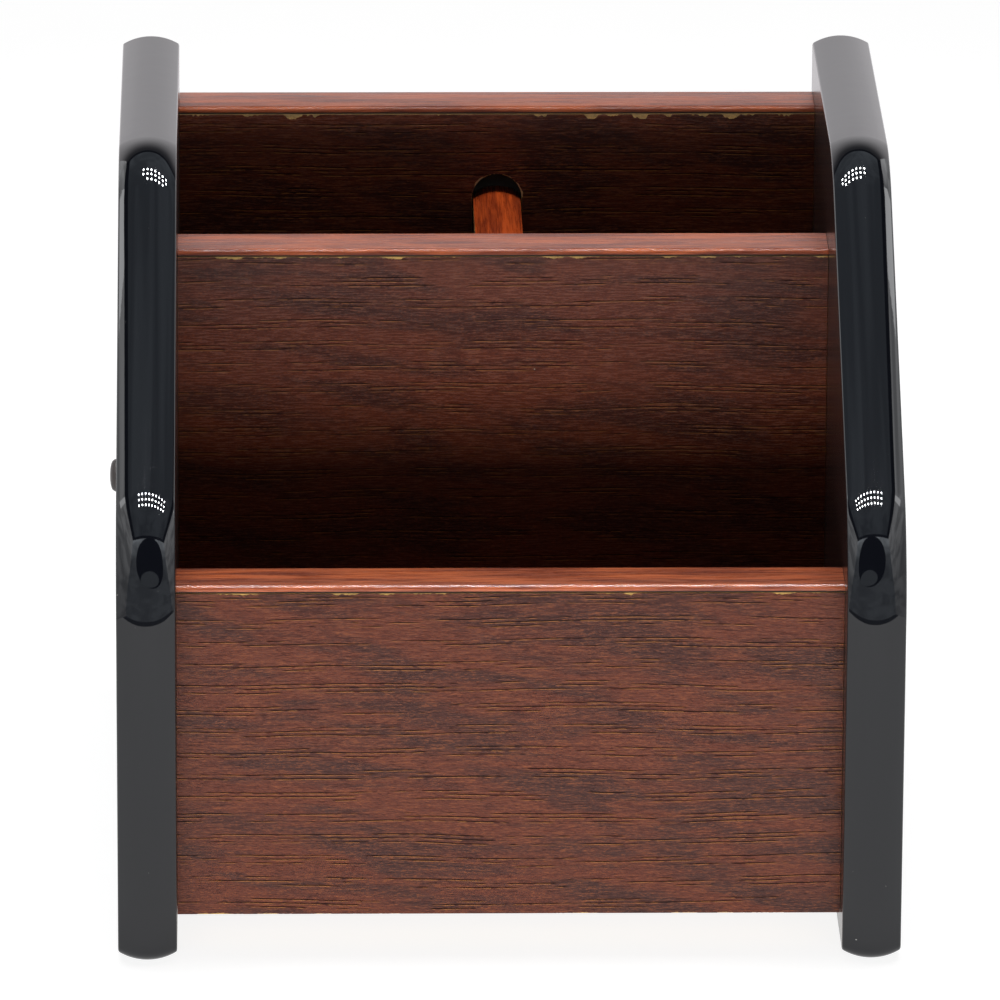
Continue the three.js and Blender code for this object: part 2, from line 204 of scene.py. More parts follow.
def finish_piece(piece, slot, *nodes):
    """The piece rides on the holder's body, and stands for the CAD nodes."""
    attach(piece, BODY)
    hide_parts(*nodes)


def neighbours(count):
    """Each number round a ring, with the one after it."""
    return [(i, (i + 1) % count) for i in range(count)]


def tube_faces(rings, count):
    """Quads between successive rings of count vertices each."""
    faces = []
    for ring in range(rings - 1):
        here, there = ring * count, (ring + 1) * count
        faces += [[here + i, here + j, there + j, there + i] for i, j in neighbours(count)]
    return faces


def turned_over(faces):
    return [list(reversed(face)) for face in faces]


def ring_points(x, y, z, radius, count):
    """Points round a circle that faces along X."""
    angles = [math.tau * step / count for step in range(count)]
    return [(x, y + radius * math.cos(angle), z + radius * math.sin(angle)) for angle in angles]


def face_normal(points):
    """Normal of a flat polygon by Newell's sum, not normalised."""
    total = Vector((0, 0, 0))
    for here, after in zip(points, points[1:] + points[:1]):
        total += here.cross(after)
    return total


def smooth_by_angle(piece, degrees):
    """Smooth shading that stays sharp where faces meet at more than this angle."""
    mesh = piece.data
    mesh.polygons.foreach_set("use_smooth", [True] * len(mesh.polygons))
    mesh.set_sharp_from_angle(angle=math.radians(degrees))


# ---- Material helpers ----

class Recipe:
    """Builds the node tree of a material, the world or a node group step by step."""

    def __init__(self, tree):
        self.nodes, self.links = tree.nodes, tree.links
        self.nodes.clear()

    def add(self, kind, inputs=None, **settings):
        node = self.nodes.new(kind)
        for key, value in settings.items():
            setattr(node, key, value)
        for key, value in (inputs or {}).items():
            self.feed(node.inputs[key], value)
        return node

    def feed(self, socket, value):
        if isinstance(value, bpy.types.NodeSocket):
            self.links.new(value, socket)
        elif isinstance(value, (tuple, list)) and socket.type == "RGBA" and len(value) == 3:
            socket.default_value = (*value, 1.0)
        else:
            socket.default_value = value

    def math(self, operation, first, second=0.0, third=0.0):
        node = self.add("ShaderNodeMath", operation=operation)
        for socket, value in zip(node.inputs, (first, second, third)):
            self.feed(socket, value)
        return node.outputs[0]

    def times(self, first, second):
        return self.math("MULTIPLY", first, second)

    def larger(self, first, second):
        return self.math("MAXIMUM", first, second)

    def size(self, value):
        return self.math("ABSOLUTE", value)

    def vector(self, x=0.0, y=0.0, z=0.0):
        return self.add("ShaderNodeCombineXYZ", {"X": x, "Y": y, "Z": z}).outputs[0]

    def stretched(self, axes, sizes):
        return self.vector(*(self.math("DIVIDE", axis, size) for axis, size in zip(axes, sizes)))

    def noise(self, vector, detail=2.0, roughness=0.5, distortion=0.0):
        return self.add("ShaderNodeTexNoise", {
            "Vector": vector, "Scale": 1.0, "Detail": detail, "Roughness": roughness,
            "Distortion": distortion,
        }).outputs["Fac"]

    def figure(self, axes, sizes, detail=2.0, roughness=0.5, distortion=0.0):
        """Noise whose figure has these sizes along the axes, in millimetres."""
        return self.noise(self.stretched(axes, sizes), detail, roughness, distortion)

    def step(self, value, low, high, out_low=0.0, out_high=1.0):
        node = self.add("ShaderNodeMapRange", {
            "Value": value, "From Min": low, "From Max": high, "To Min": out_low,
            "To Max": out_high,
        }, interpolation_type="SMOOTHSTEP")
        return node.outputs["Result"]

    def mix(self, factor, first, second):
        node = self.add("ShaderNodeMix", data_type="RGBA", blend_type="MIX")
        self.feed(node.inputs["Factor"], factor)
        self.feed(node.inputs[6], first)
        self.feed(node.inputs[7], second)
        return node.outputs[2]

    def millimetres(self):
        """The object's own coordinates in millimetres, as x, y and z."""
        place = self.add("ShaderNodeTexCoord").outputs["Object"]
        scaled = self.add("ShaderNodeVectorMath", {0: place, "Scale": 1 / MM}, operation="SCALE")
        return self.add("ShaderNodeSeparateXYZ", {0: scaled.outputs[0]}).outputs

    def specks(self, axes, spacing, radius, share):
        """Scattered small spots: 1 on a spot. spacing and radius are in millimetres."""
        where = self.stretched(axes, (spacing, spacing, spacing))
        cells = self.add("ShaderNodeTexVoronoi", {"Vector": where, "Scale": 1.0})
        near = self.step(cells.outputs["Distance"], radius / spacing, 0.5 * radius / spacing)
        chosen = self.add("ShaderNodeSeparateColor", {0: cells.outputs["Color"]}).outputs[0]
        return self.times(near, self.math("LESS_THAN", chosen, share))

    def bump(self, height, distance, strength):
        return self.add("ShaderNodeBump", {
            "Height": height, "Distance": distance, "Strength": strength,
        }).outputs[0]

    def surface(self, **inputs):
        shader = self.add("ShaderNodeBsdfPrincipled")
        for key, value in inputs.items():
            self.feed(shader.inputs[key.replace("_", " ")], value)
        self.add("ShaderNodeOutputMaterial", {"Surface": shader.outputs[0]})

    def glow(self, colour, strength):
        """A surface that only gives light."""
        shader = self.add("ShaderNodeEmission", {"Color": colour, "Strength": strength})
        self.add("ShaderNodeOutputMaterial", {"Surface": shader.outputs[0]})


MATERIALS = {}


def material(name, build, *args):
    """The named material, built the first time it is asked for."""
    if name not in MATERIALS:
        MATERIALS[name] = bpy.data.materials.new(name)
        MATERIALS[name].use_nodes = True
        build(Recipe(MATERIALS[name].node_tree), *args)
    return MATERIALS[name]


def dye(name):
    """A colour of the finish settings."""
    return tuple(getattr(bpy.context.scene.pen_holder_finishes, name))


def toned(colour, *factors):
    """The colour times one factor, or its channels times one factor each."""
    factors = factors * 3 if len(factors) == 1 else factors
    return tuple(part * factor for part, factor in zip(colour, factors))


# ---- Materials ----

def lacquer_recipe(recipe):
    """Black polished lacquer with a faint orange peel, dust and hairline rubs."""
    place = recipe.millimetres()
    peel = recipe.figure(place, (7.0, 7.0, 7.0))
    dust = recipe.specks(place, 5.0, 0.16, 0.16)
    fine_dust = recipe.times(recipe.specks(place, 2.3, 0.07, 0.22), 0.6)
    rub = recipe.figure(place, (0.5, 9.0, 9.0), 3.0)
    inner_x = CHEEK_INNER_X / MM
    inner_face = recipe.step(recipe.size(place[0]), inner_x + 0.2, inner_x + 0.05)
    film = recipe.times(recipe.figure(place, (0.4, 0.4, 0.4)), 0.12)
    clinging = recipe.larger(recipe.specks(place, 1.3, 0.13, 0.3), film)
    all_dust = recipe.larger(recipe.larger(dust, fine_dust), recipe.times(inner_face, clinging))
    haze = recipe.larger(
        recipe.step(rub, 0.55, 0.75, 0.035, 0.075), recipe.times(inner_face, 0.22),
    )
    dust_colour = recipe.mix(inner_face, (0.42, 0.41, 0.38), (0.30, 0.12, 0.07))
    recipe.surface(
        Base_Color=recipe.mix(all_dust, dye("lacquer"), dust_colour),
        Roughness=recipe.larger(haze, recipe.times(all_dust, 0.7)),
        IOR=1.5,
        Normal=recipe.bump(peel, 0.00006, 0.25),
    )


def wood_coordinates(recipe, along, across):
    """Along the grain, across it and into the board, in millimetres."""
    axes = recipe.millimetres()
    through = ({0, 1, 2} - {along, across}).pop()
    return axes[along], axes[across], axes[through]


def pore_lines(recipe, wood, pitch, offset, seed):
    """Thin broken lines along the grain: the dark line, and below it the light lip, a painted highlight."""
    along, across, through = wood
    row = recipe.math("DIVIDE", recipe.math("ADD", across, offset), pitch)
    place = recipe.times(recipe.math("SUBTRACT", recipe.math("FRACT", row), 0.5), pitch)
    row_number = recipe.math("FLOOR", row)
    gate = recipe.noise(recipe.vector(
        recipe.math("DIVIDE", along, 13.0), recipe.math("MULTIPLY_ADD", row_number, 7.31, seed),
        recipe.math("DIVIDE", through, 20.0),
    ), 3.0, 0.65)
    lip_highlight_gate = recipe.noise(recipe.vector(
        recipe.math("DIVIDE", along, 3.0), recipe.math("MULTIPLY_ADD", row_number, 3.7, seed),
    ), 2.0, 0.6)
    present = recipe.step(gate, 0.44, 0.56)
    dark = recipe.times(recipe.step(recipe.size(place), 0.17, 0.05), present)
    # Painted highlight: a light lip just below each dark line, where the lower side of the embossed groove
    # would catch the light.
    below = recipe.size(recipe.math("ADD", place, 0.20))
    edge = recipe.times(recipe.step(below, 0.14, 0.04), recipe.step(lip_highlight_gate, 0.38, 0.54))
    return dark, recipe.times(edge, present)


def rosewood_recipe(recipe, along, across):
    """Printed red-brown wood laminate with an embossed grain, satin."""
    dark_wood, mid_wood, light_wood = dye("wood_dark"), dye("wood_mid"), dye("wood_light")
    u, v, w = wood_coordinates(recipe, along, across)
    drift = recipe.figure((u, v, w), (46.0, 30.0, 60.0), 1.0)
    ripple = recipe.figure((u, v, w), (6.0, 2.0, 20.0))
    v = recipe.math("MULTIPLY_ADD", drift, 2.4, recipe.math("MULTIPLY_ADD", ripple, 0.26, v))
    wood = (u, v, w)
    slanted = recipe.math("MULTIPLY_ADD", u, 0.16, v)
    smudge = recipe.figure((u, slanted, w), (34.0, 7.5, 40.0), 3.0, 0.55, 0.4)
    broad = recipe.figure(wood, (30.0, 1.6, 20.0))
    fibre = recipe.figure(wood, (4.0, 0.30, 6.0), 3.0, 0.65)
    fine = recipe.figure(wood, (0.8, 0.13, 2.0), 2.0, 0.7)
    grain = recipe.math("ADD", recipe.times(fibre, 0.40), recipe.times(fine, 0.60))
    shade = recipe.step(recipe.math("MULTIPLY_ADD", broad, 0.35, smudge), 0.54, 0.76)
    ground = recipe.mix(shade, dark_wood, mid_wood)
    warm = recipe.mix(recipe.times(recipe.step(grain, 0.50, 0.64), 0.8), ground, light_wood)
    deep = recipe.step(grain, 0.49, 0.37)
    colour = recipe.mix(recipe.times(deep, 0.65), warm, toned(dark_wood, 0.4))
    relief = recipe.times(deep, 0.45)
    for offset, seed in ((0.0, 0.0), (0.80, 31.7), (1.65, 63.1)):
        dark, light = pore_lines(recipe, wood, 4.65, offset, seed)
        colour = recipe.mix(recipe.times(dark, 0.92), colour, toned(dark_wood, 0.12))
        # Painted highlight: the lip below each pore line is mixed towards a paler, lighter wood colour.
        colour = recipe.mix(recipe.times(light, 0.85), colour, toned(light_wood, 1.15, 1.6, 1.6))
        relief = recipe.larger(relief, dark)
    specks = recipe.times(recipe.specks(wood, 6.5, 0.2, 0.2), 0.6)
    recipe.surface(
        Base_Color=recipe.mix(specks, colour, (0.5, 0.42, 0.33)),
        Roughness=recipe.step(fibre, 0.3, 0.7, 0.22, 0.31),
        Specular_IOR_Level=recipe.step(relief, 0.0, 0.8, 0.40, 0.08),
        Normal=recipe.bump(recipe.math("SUBTRACT", 1.0, relief), 0.00004, 0.35),
    )


def band_recipe(recipe, along, across, painted_light_factors, shine):
    """Glossy wood-print edge band: fine streaks along its length. Its colours are multiplied by per-band
    factors that paint light and shade, making lit and shaded copies of one band.
    """
    dark_streak, light_streak = toned(dye("band_dark"), *painted_light_factors), toned(dye("band_light"), *painted_light_factors)
    wood = wood_coordinates(recipe, along, across)
    broad = recipe.figure(wood, (26.0, 2.2, 2.2), 2.0, 0.5, 0.4)
    streak = recipe.figure(wood, (9.0, 0.34, 0.34), 4.0, 0.65)
    fine = recipe.figure(wood, (3.0, 0.12, 0.12))
    blend = recipe.math("ADD", recipe.times(broad, 0.55), recipe.times(streak, 0.45))
    colour = recipe.mix(recipe.step(blend, 0.38, 0.62), dark_streak, light_streak)
    lines = recipe.step(fine, 0.62, 0.74, 0.0, 0.45)
    colour = recipe.mix(lines, colour, toned(dye("band_dark"), 0.4))
    scuffs = recipe.times(recipe.specks(wood, 3.2, 0.16, 0.2), 0.65)
    relief = recipe.math("ADD", streak, recipe.times(fine, 0.5))
    recipe.surface(
        Base_Color=recipe.mix(scuffs, colour, (0.62, 0.5, 0.4)),
        Roughness=recipe.step(streak, 0.3, 0.7, 0.22, 0.36),
        Specular_IOR_Level=shine,
        Normal=recipe.bump(relief, 0.00005, 0.35),
    )


def core_recipe(recipe):
    """Raw fibreboard: matt, mottled with fibres, and painted near black inside the divider's groove as
    painted shade.
    """
    place = recipe.millimetres()
    base = dye("core")
    fibres = recipe.figure(place, (0.7, 0.4, 0.4), 4.0, 0.7)
    blotch = recipe.figure(place, (4.0, 4.0, 4.0))
    colour = recipe.mix(recipe.step(fibres, 0.35, 0.7), toned(base, 0.55), base)
    colour = recipe.mix(recipe.step(blotch, 0.4, 0.7, 0.0, 0.35), colour, toned(base, 1.3))
    # Painted shade: behind the divider's groove and high up in it, the fibreboard is painted near black for
    # the shade in the groove.
    groove_half_width, groove_front, groove_shade_low, groove_shade_high = 5.5, 70.5, 100.0, 108.0
    between = recipe.math("LESS_THAN", recipe.size(place[0]), groove_half_width)
    behind = recipe.math("GREATER_THAN", place[1], groove_front)
    raised = recipe.step(place[2], groove_shade_low, groove_shade_high)
    painted_groove_shade = recipe.times(recipe.times(between, recipe.times(raised, behind)), 0.97)
    recipe.surface(
        Base_Color=recipe.mix(painted_groove_shade, colour, (0.010, 0.006, 0.004)),
        Roughness=recipe.step(fibres, 0.3, 0.7, 0.75, 0.95),
        Normal=recipe.bump(fibres, 0.0001, 0.7),
    )


def glue_and_gap_shade_recipe(recipe):
    """Dark hardened glue under the bands, painted near black, partly as painted shade of the gap beneath
    them.
    """
    lumps = recipe.figure(recipe.millimetres(), (1.3, 0.3, 0.3), 3.0)
    recipe.surface(
        Base_Color=recipe.mix(lumps, (0.006, 0.004, 0.003), (0.035, 0.018, 0.010)),
        Roughness=recipe.step(lumps, 0.3, 0.7, 0.5, 0.8),
        Normal=recipe.bump(lumps, 0.0001, 0.5),
    )


def beech_recipe(recipe):
    """Plain beech with short flecks along the dowel."""
    place = recipe.millimetres()
    base = dye("beech")
    grain = recipe.figure(place, (8.0, 0.5, 0.5), 4.0, 0.6)
    flecks = recipe.step(recipe.figure(place, (1.6, 0.2, 0.2)), 0.6, 0.72)
    colour = recipe.mix(recipe.step(grain, 0.35, 0.65), toned(base, 0.75), base)
    recipe.surface(
        Base_Color=recipe.mix(recipe.times(flecks, 0.5), colour, toned(base, 0.5)),
        Roughness=recipe.step(grain, 0.3, 0.7, 0.55, 0.75),
        Normal=recipe.bump(grain, 0.0001, 0.4),
    )


def steel_recipe(recipe):
    """Zinc plated steel, finely brushed."""
    brushed = recipe.figure(recipe.millimetres(), (0.15, 1.5, 1.5), 3.0, 0.7)
    recipe.surface(
        Base_Color=recipe.mix(brushed, toned(dye("steel"), 0.8), dye("steel")), Metallic=1.0,
        Roughness=recipe.step(brushed, 0.3, 0.7, 0.24, 0.42),
        Normal=recipe.bump(brushed, 0.00002, 0.4),
    )


def cap_recipe(recipe):
    """Dark moulded plastic with a fine spark-eroded texture."""
    place = recipe.millimetres()
    texture = recipe.figure(place, (0.22, 0.22, 0.22), 3.0, 0.6)
    wear = recipe.step(recipe.figure(place, (2.0, 2.0, 2.0)), 0.35, 0.7)
    recipe.surface(
        Base_Color=recipe.mix(wear, dye("cap"), toned(dye("cap"), 2.2)),
        Roughness=recipe.step(texture, 0.3, 0.7, 0.38, 0.6),
        Normal=recipe.bump(texture, 0.00004, 0.5),
    )


LAMINATE_NAMES = {(0, 2): "Upright", (0, 1): "Flat", (1, 2): "Divider"}


def rosewood(plane):
    """The laminate of a board that lies in the plane, its grain along the plane's first axis."""
    return material(f"Rosewood_Laminate_{LAMINATE_NAMES[plane]}", rosewood_recipe, *plane)


def fibreboard():
    return material("Raw_Fibreboard", core_recipe)


# ---- Cheeks ----

def cheek_corners(low, high, settings):
    """The outline's corners as (y, z, radius, steps), anticlockwise seen from +X."""
    small, large = (settings.corner_radius, 10), (settings.bend_radius, 40)
    return (
        (low.y, low.z, *small), (high.y, low.z, *small), (high.y, high.z, *small),
        (low.y + settings.slope_depth, high.z, *large), (low.y, settings.front_height, *large),
    )


def rounded_outline(corners, spacing):
    """Points on the rounded outline as (y, z, normal y, normal z, bend radius)."""
    outline = []
    for index, (y, z, radius, steps) in enumerate(corners):
        before, after = corners[index - 1], corners[(index + 1) % len(corners)]
        arriving = math.atan2(z - before[1], y - before[0])
        leaving = math.atan2(after[1] - z, after[0] - y)
        turn = (leaving - arriving) % math.tau
        reach = radius / math.cos(turn / 2)
        bisector = arriving + turn / 2 + math.pi / 2
        centre_y = y + reach * math.cos(bisector)
        centre_z = z + reach * math.sin(bisector)
        for step in range(steps + 1):
            angle = arriving - math.pi / 2 + turn * step / steps
            normal = (math.cos(angle), math.sin(angle))
            outline.append((centre_y + radius * normal[0], centre_z + radius * normal[1], *normal, radius))
        next_radius, next_after = after[2], corners[(index + 2) % len(corners)]
        next_leaving = math.atan2(next_after[1] - after[1], next_after[0] - after[0])
        next_turn = (next_leaving - leaving) % math.tau
        start = Vector(outline[-1][:2])
        gap = (Vector(after[:2]) - start).length - next_radius * math.tan(next_turn / 2)
        count = max(1, round(gap / spacing))
        direction = Vector((math.cos(leaving), math.sin(leaving)))
        for step in range(1, count):
            outline.append((*(start + direction * (gap * step / count)), *normal, math.inf))
    return outline


def crown_inset(across, radius, half_thickness, shoulder):
    """How far the crown stands back at a distance from the middle, and its sideways lean."""
    centre = half_thickness - shoulder
    lean_at_shoulder = math.asin(centre / (radius - shoulder))
    if abs(across) <= radius * math.sin(lean_at_shoulder):
        lean = math.asin(across / radius)
        return radius * (1 - math.cos(lean)), lean
    sunk = radius - math.sqrt((radius - shoulder) ** 2 - centre ** 2)
    lean = math.asin(min(1.0, (abs(across) - centre) / shoulder))
    return sunk - shoulder * math.cos(lean), math.copysign(lean, across)


def section_places(half_thickness, shoulder, crown):
    """Distances from the middle of the thickness at which the edge has its sections."""
    centre = half_thickness - shoulder
    first_lean = math.asin(centre / (crown - shoulder))
    join = crown * math.sin(first_lean)
    crown_steps, shoulder_steps = 15, 9
    side = [join * step / crown_steps for step in range(1, crown_steps)]
    for step in range(shoulder_steps + 1):
        lean = first_lean + (math.pi / 2 - first_lean) * step / shoulder_steps
        side.append(centre + shoulder * math.sin(lean))
    return [-place for place in reversed(side)] + [0.0] + side


def crown_at(y, z, bends, settings):
    """The crown's radius at a place on the outline: it tightens towards the two bends."""
    nearest = min(math.hypot(y - bend[0], z - bend[1]) for bend in bends)
    share = math.cos(min(1.0, nearest / settings.tightening_reach) * math.pi / 2) ** 2
    return settings.crown_radius + (settings.bend_crown_radius - settings.crown_radius) * share


def crowned_edge(builder, low, high, settings):
    """The cheek's edge, as its rings of vertices, its faces and each vertex's true normal."""
    middle_x, half = (low.x + high.x) / 2, (high.x - low.x) / 2
    corners = cheek_corners(low, high, settings)
    outline = rounded_outline(corners, 2.5 * MM)
    crowns = [crown_at(y, z, corners[3:], settings) for y, z, *_ in outline]
    shoulder = settings.shoulder_radius
    normals, rings, faces = {}, [], set()
    for across in section_places(half, shoulder, settings.crown_radius):
        insets = [crown_inset(across, crown, half, shoulder) for crown in crowns]
        ring = []
        for i, (y, z, normal_y, normal_z, radius) in enumerate(outline):
            inset, lean = insets[i]
            after = (i + 1) % len(outline)
            run = math.dist(outline[i - 1][:2], outline[after][:2])
            rise = (insets[after][0] - insets[i - 1][0]) / run / (1 - inset / radius)
            vertex = builder.verts.new((middle_x + across, y - inset * normal_y, z - inset * normal_z))
            normals[vertex] = Vector((
                math.sin(lean), (normal_y - rise * normal_z) * math.cos(lean),
                (normal_z + rise * normal_y) * math.cos(lean),
            )).normalized()
            ring.append(vertex)
        rings.append(ring)
    for inner, outer in zip(rings, rings[1:]):
        for i, j in neighbours(len(outline)):
            faces.add(builder.faces.new((inner[i], inner[j], outer[j], outer[i])))
    return rings, faces, normals


def dowel_bores(side):
    """Dowel bores in one cheek as (y, z, radius, floor_x), from the dowels that sit in them."""
    places = []
    hand = "_left_" if side < 0 else "_right_"
    for node in sorted(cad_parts):
        if node.startswith("dowel_") and hand in node:
            low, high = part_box(node)
            middle = (low + high) / 2
            radius = (high.z - low.z) / 2 + BORE_CLEARANCE
            floor = high.x + BORE_CLEARANCE if side > 0 else low.x - BORE_CLEARANCE
            places.append((middle.y, middle.z, radius, floor))
    return places


def bore_cheek(builder, side, inner_x, outer_x):
    """Bores for the dowels and the screw: mouths in the inner and the outer face, and the walls.

    The walls are a dictionary from a face to the y and z of its bore's centre line.
    """
    steps = 40
    walls = {}

    def circle(x, y, z, radius):
        return [builder.verts.new(point) for point in ring_points(x, y, z, radius, steps)]

    def wall(first, second, y, z):
        for i, j in neighbours(steps):
            walls[builder.faces.new((first[i], first[j], second[j], second[i]))] = (y, z)

    inner_mouths = []
    for y, z, radius, floor_x in dowel_bores(side):
        mouth, floor = circle(inner_x, y, z, radius), circle(floor_x, y, z, radius)
        wall(mouth, floor, y, z)
        builder.faces.new(floor)
        inner_mouths.append(mouth)
    low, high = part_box("left_screw" if side < 0 else "right_screw")
    y, z = (low.y + high.y) / 2, (low.z + high.z) / 2
    head_radius = (high.z - low.z) / 2 + BORE_CLEARANCE
    recess_x = outer_x - side * SCREW_RECESS_DEPTH
    outer_mouth, ledge = circle(outer_x, y, z, head_radius), circle(recess_x, y, z, head_radius)
    wall(outer_mouth, ledge, y, z)
    shank_out = circle(recess_x, y, z, SHANK_BORE_RADIUS)
    for i, j in neighbours(steps):
        builder.faces.new((ledge[i], ledge[j], shank_out[j], shank_out[i]))
    shank_in = circle(inner_x, y, z, SHANK_BORE_RADIUS)
    wall(shank_out, shank_in, y, z)
    return [*inner_mouths, shank_in], [outer_mouth], walls


def fill_flat(builder, loops):
    """Fills the flat area between an outer loop and the holes in it."""
    edges = []
    for loop in loops:
        for here, after in zip(loop, loop[1:] + loop[:1]):
            edges.append(builder.edges.get((here, after)) or builder.edges.new((here, after)))
    bmesh.ops.triangle_fill(builder, use_beauty=True, use_dissolve=False, edges=edges)


def build_cheek(name, node, side):
    """A lacquered cheek with its crowned edge, blind dowel bores and stepped screw bore."""
    low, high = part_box(node)
    builder = bmesh.new()
    rings, crowned, normals = crowned_edge(builder, low, high, bpy.context.scene.pen_holder_cheeks)
    inner_ring, outer_ring = (rings[0], rings[-1]) if side > 0 else (rings[-1], rings[0])
    middle_x, half = (low.x + high.x) / 2, (high.x - low.x) / 2
    inner_mouths, outer_mouths, walls = bore_cheek(
        builder, side, middle_x - side * half, middle_x + side * half,
    )
    fill_flat(builder, [inner_ring, *inner_mouths])
    fill_flat(builder, [outer_ring, *outer_mouths])
    bmesh.ops.recalc_face_normals(builder, faces=builder.faces)
    builder.verts.index_update()
    builder.faces.index_update()
    loop_normals = []
    for face in builder.faces:
        for corner in face.loops:
            vertex = corner.vert
            if face in crowned:
                loop_normals.append(tuple(normals[vertex]))
            elif face in walls:
                y, z = walls[face]
                towards_axis = Vector((0, y - vertex.co.y, z - vertex.co.z))
                loop_normals.append(tuple(towards_axis.normalized()))
            else:
                loop_normals.append(tuple(face.normal))
    mesh = bpy.data.meshes.new(name)
    builder.to_mesh(mesh)
    builder.free()
    mesh.materials.append(material("Black_Lacquer", lacquer_recipe))
    mesh.polygons.foreach_set("use_smooth", [True] * len(mesh.polygons))
    mesh.normals_split_custom_set(loop_normals)
    finish_piece(add_object(name, mesh), "lacquer", node)


class PENHOLDER_OT_cheeks(bpy.types.Operator):
    """Build the two lacquered cheeks"""
    bl_idname = "pen_holder.cheeks"
    bl_label = "Cheeks"

    def execute(self, context):
        build_cheek("lacquered_cheek_left", "left_cheek", -1)
        build_cheek("lacquered_cheek_right", "right_cheek", 1)
        return {"FINISHED"}


# ---- Laminates ----

def chip_depth(place, seed, largest):
    """Depth of the chipped foil at a distance along an edge, in metres."""
    position = place / MM
    broad = noise.noise(Vector((position / 3.4, seed, 0.3)))
    ragged = noise.noise(Vector((position / 0.55, seed, 5.7)))
    regional = noise.noise(Vector((position / 24.0, seed, 9.1)))
    bite = max(0.0, broad + 0.55 * regional + 0.35 * ragged - 0.12)
    return largest * min(1.0, 0.07 + 0.05 * max(0.0, ragged) + 1.5 * bite)


def sheet_outline(corners, groove, settings, seed, worn):
    """The laminate's outline as (point, inward normal, chip depth), anticlockwise.

    groove is (half width, top) where a groove with a round top opens at the bottom edge, or None.
    worn multiplies the depth of the top edge's chips.
    """
    outline = []
    rim = 0.02 * MM
    up, down, left, right = (Vector(way) for way in ((0, 1), (0, -1), (-1, 0), (1, 0)))

    def edge(start, end, inward, largest):
        count = max(1, round((end - start).length / settings.chip_spacing))
        for step in range(count):
            point = start.lerp(end, step / count)
            depth = chip_depth(point.x + point.y, seed, largest) if largest else rim
            outline.append((point, inward, depth))

    bottom, along_groove = settings.bottom_chipping, settings.groove_chipping
    bottom_left, bottom_right, top_right, top_left = corners
    if groove:
        half, groove_top = groove
        floor, centre_v = bottom_left.y, groove_top - half
        edge(bottom_left, Vector((-half, floor)), up, bottom)
        edge(Vector((-half, floor)), Vector((-half, centre_v)), left, along_groove)
        steps = 60
        for step in range(steps):
            angle = math.pi - math.pi * step / steps
            outward = Vector((math.cos(angle), math.sin(angle)))
            depth = chip_depth(half * angle, seed + 3.0, along_groove)
            outline.append((Vector((0.0, centre_v)) + half * outward, outward, depth))
        edge(Vector((half, centre_v)), Vector((half, floor)), right, along_groove)
        edge(Vector((half, floor)), bottom_right, up, bottom)
    else:
        edge(bottom_left, bottom_right, up, bottom)
    edge(bottom_right, top_right, left, 0.0)
    edge(top_right, top_left, down, settings.top_chipping * worn)
    edge(top_left, bottom_left, right, 0.0)
    return outline


def build_laminate(node, plane, facing, groove=None, worn=1.0):
    """A laminate sheet whose printed foil is chipped back from its edges.

    plane is the axis numbers of the outline's u and v; facing is 1 or -1 along the third axis.
    """
    settings = bpy.context.scene.pen_holder_boards
    low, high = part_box(node)
    through = ({0, 1, 2} - set(plane)).pop()
    outer, back = (high, low) if facing > 0 else (low, high)
    outer, back = outer[through], back[through]
    foil_back = outer - facing * settings.foil_thickness
    seed = 11.0 + 37.0 * abs(outer) / MM / 10.0
    left, bottom, right, top = (*(low[axis] for axis in plane), *(high[axis] for axis in plane))
    corners = [Vector(place) for place in ((left, bottom), (right, bottom), (right, top), (left, top))]
    outline = sheet_outline(corners, groove, settings, seed, worn)

    def placed(point, depth):
        spot = [0.0, 0.0, 0.0]
        spot[plane[0]], spot[plane[1]], spot[through] = point.x, point.y, depth
        return spot

    edge = [point for point, _, _ in outline]
    foil = [point + inward * depth for point, inward, depth in outline]
    layers = ((foil, outer), (foil, foil_back), (edge, foil_back), (edge, back))
    vertices = [placed(point, depth) for points, depth in layers for point in points]
    count = len(outline)
    faces = [list(range(count)), list(range(4 * count - 1, 3 * count - 1, -1))]
    faces += [[b, a, d, c] for a, b, c, d in tube_faces(len(layers), count)]
    slots = [0] + [1] * (len(faces) - 1)
    outward = Vector((0.0, 0.0, 0.0))
    outward[through] = facing
    if face_normal([Vector(vertices[i]) for i in range(count)]).dot(outward) < 0:
        faces = turned_over(faces)
    piece = make_object(f"{node}_finished", vertices, faces, [rosewood(plane), fibreboard()], slots)
    finish_piece(piece, "rosewood_laminate", node)


class PENHOLDER_OT_laminates(bpy.types.Operator):
    """Build the chipped laminate sheets of the upright boards, the base and the divider"""
    bl_idname = "pen_holder.laminates"
    bl_label = "Laminates"

    def execute(self, context):
        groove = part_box("divider_right_laminate")[1].x + BORE_CLEARANCE, GROOVE_TOP
        grooves = {"middle_panel_rear_laminate": groove, "back_panel_front_laminate": groove}
        wear = {"back_panel_front_laminate": 2.0}
        for board in UPRIGHT_BOARDS:
            for face, facing in (("front", -1), ("rear", 1)):
                node = f"{board}_{face}_laminate"
                build_laminate(node, (0, 2), facing, grooves.get(node), wear.get(node, 1.0))
        build_laminate("base_panel_top_laminate", (0, 1), 1)
        build_laminate("base_panel_bottom_laminate", (0, 1), -1)
        build_laminate("divider_left_laminate", (1, 2), -1)
        build_laminate("divider_right_laminate", (1, 2), 1)
        return {"FINISHED"}


# ---- Edge bands ----

# Per band: colour factors and specular level. One band material in lit and shaded copies, as painted light
# and shade: the front band is painted lighter, paler and shinier, the back band darker, and the divider's
# band darker and redder.
BAND_PAINTED_LIGHT_AND_SHINE = {
    "front_panel": ((1.32, 1.30, 1.25), 0.70),
    "middle_panel": ((1.12, 1.10, 1.10), 0.25),
    "back_panel": ((0.82, 0.78, 0.74), 0.15),
    "divider": ((0.97, 0.62, 0.35), 0.12),
}


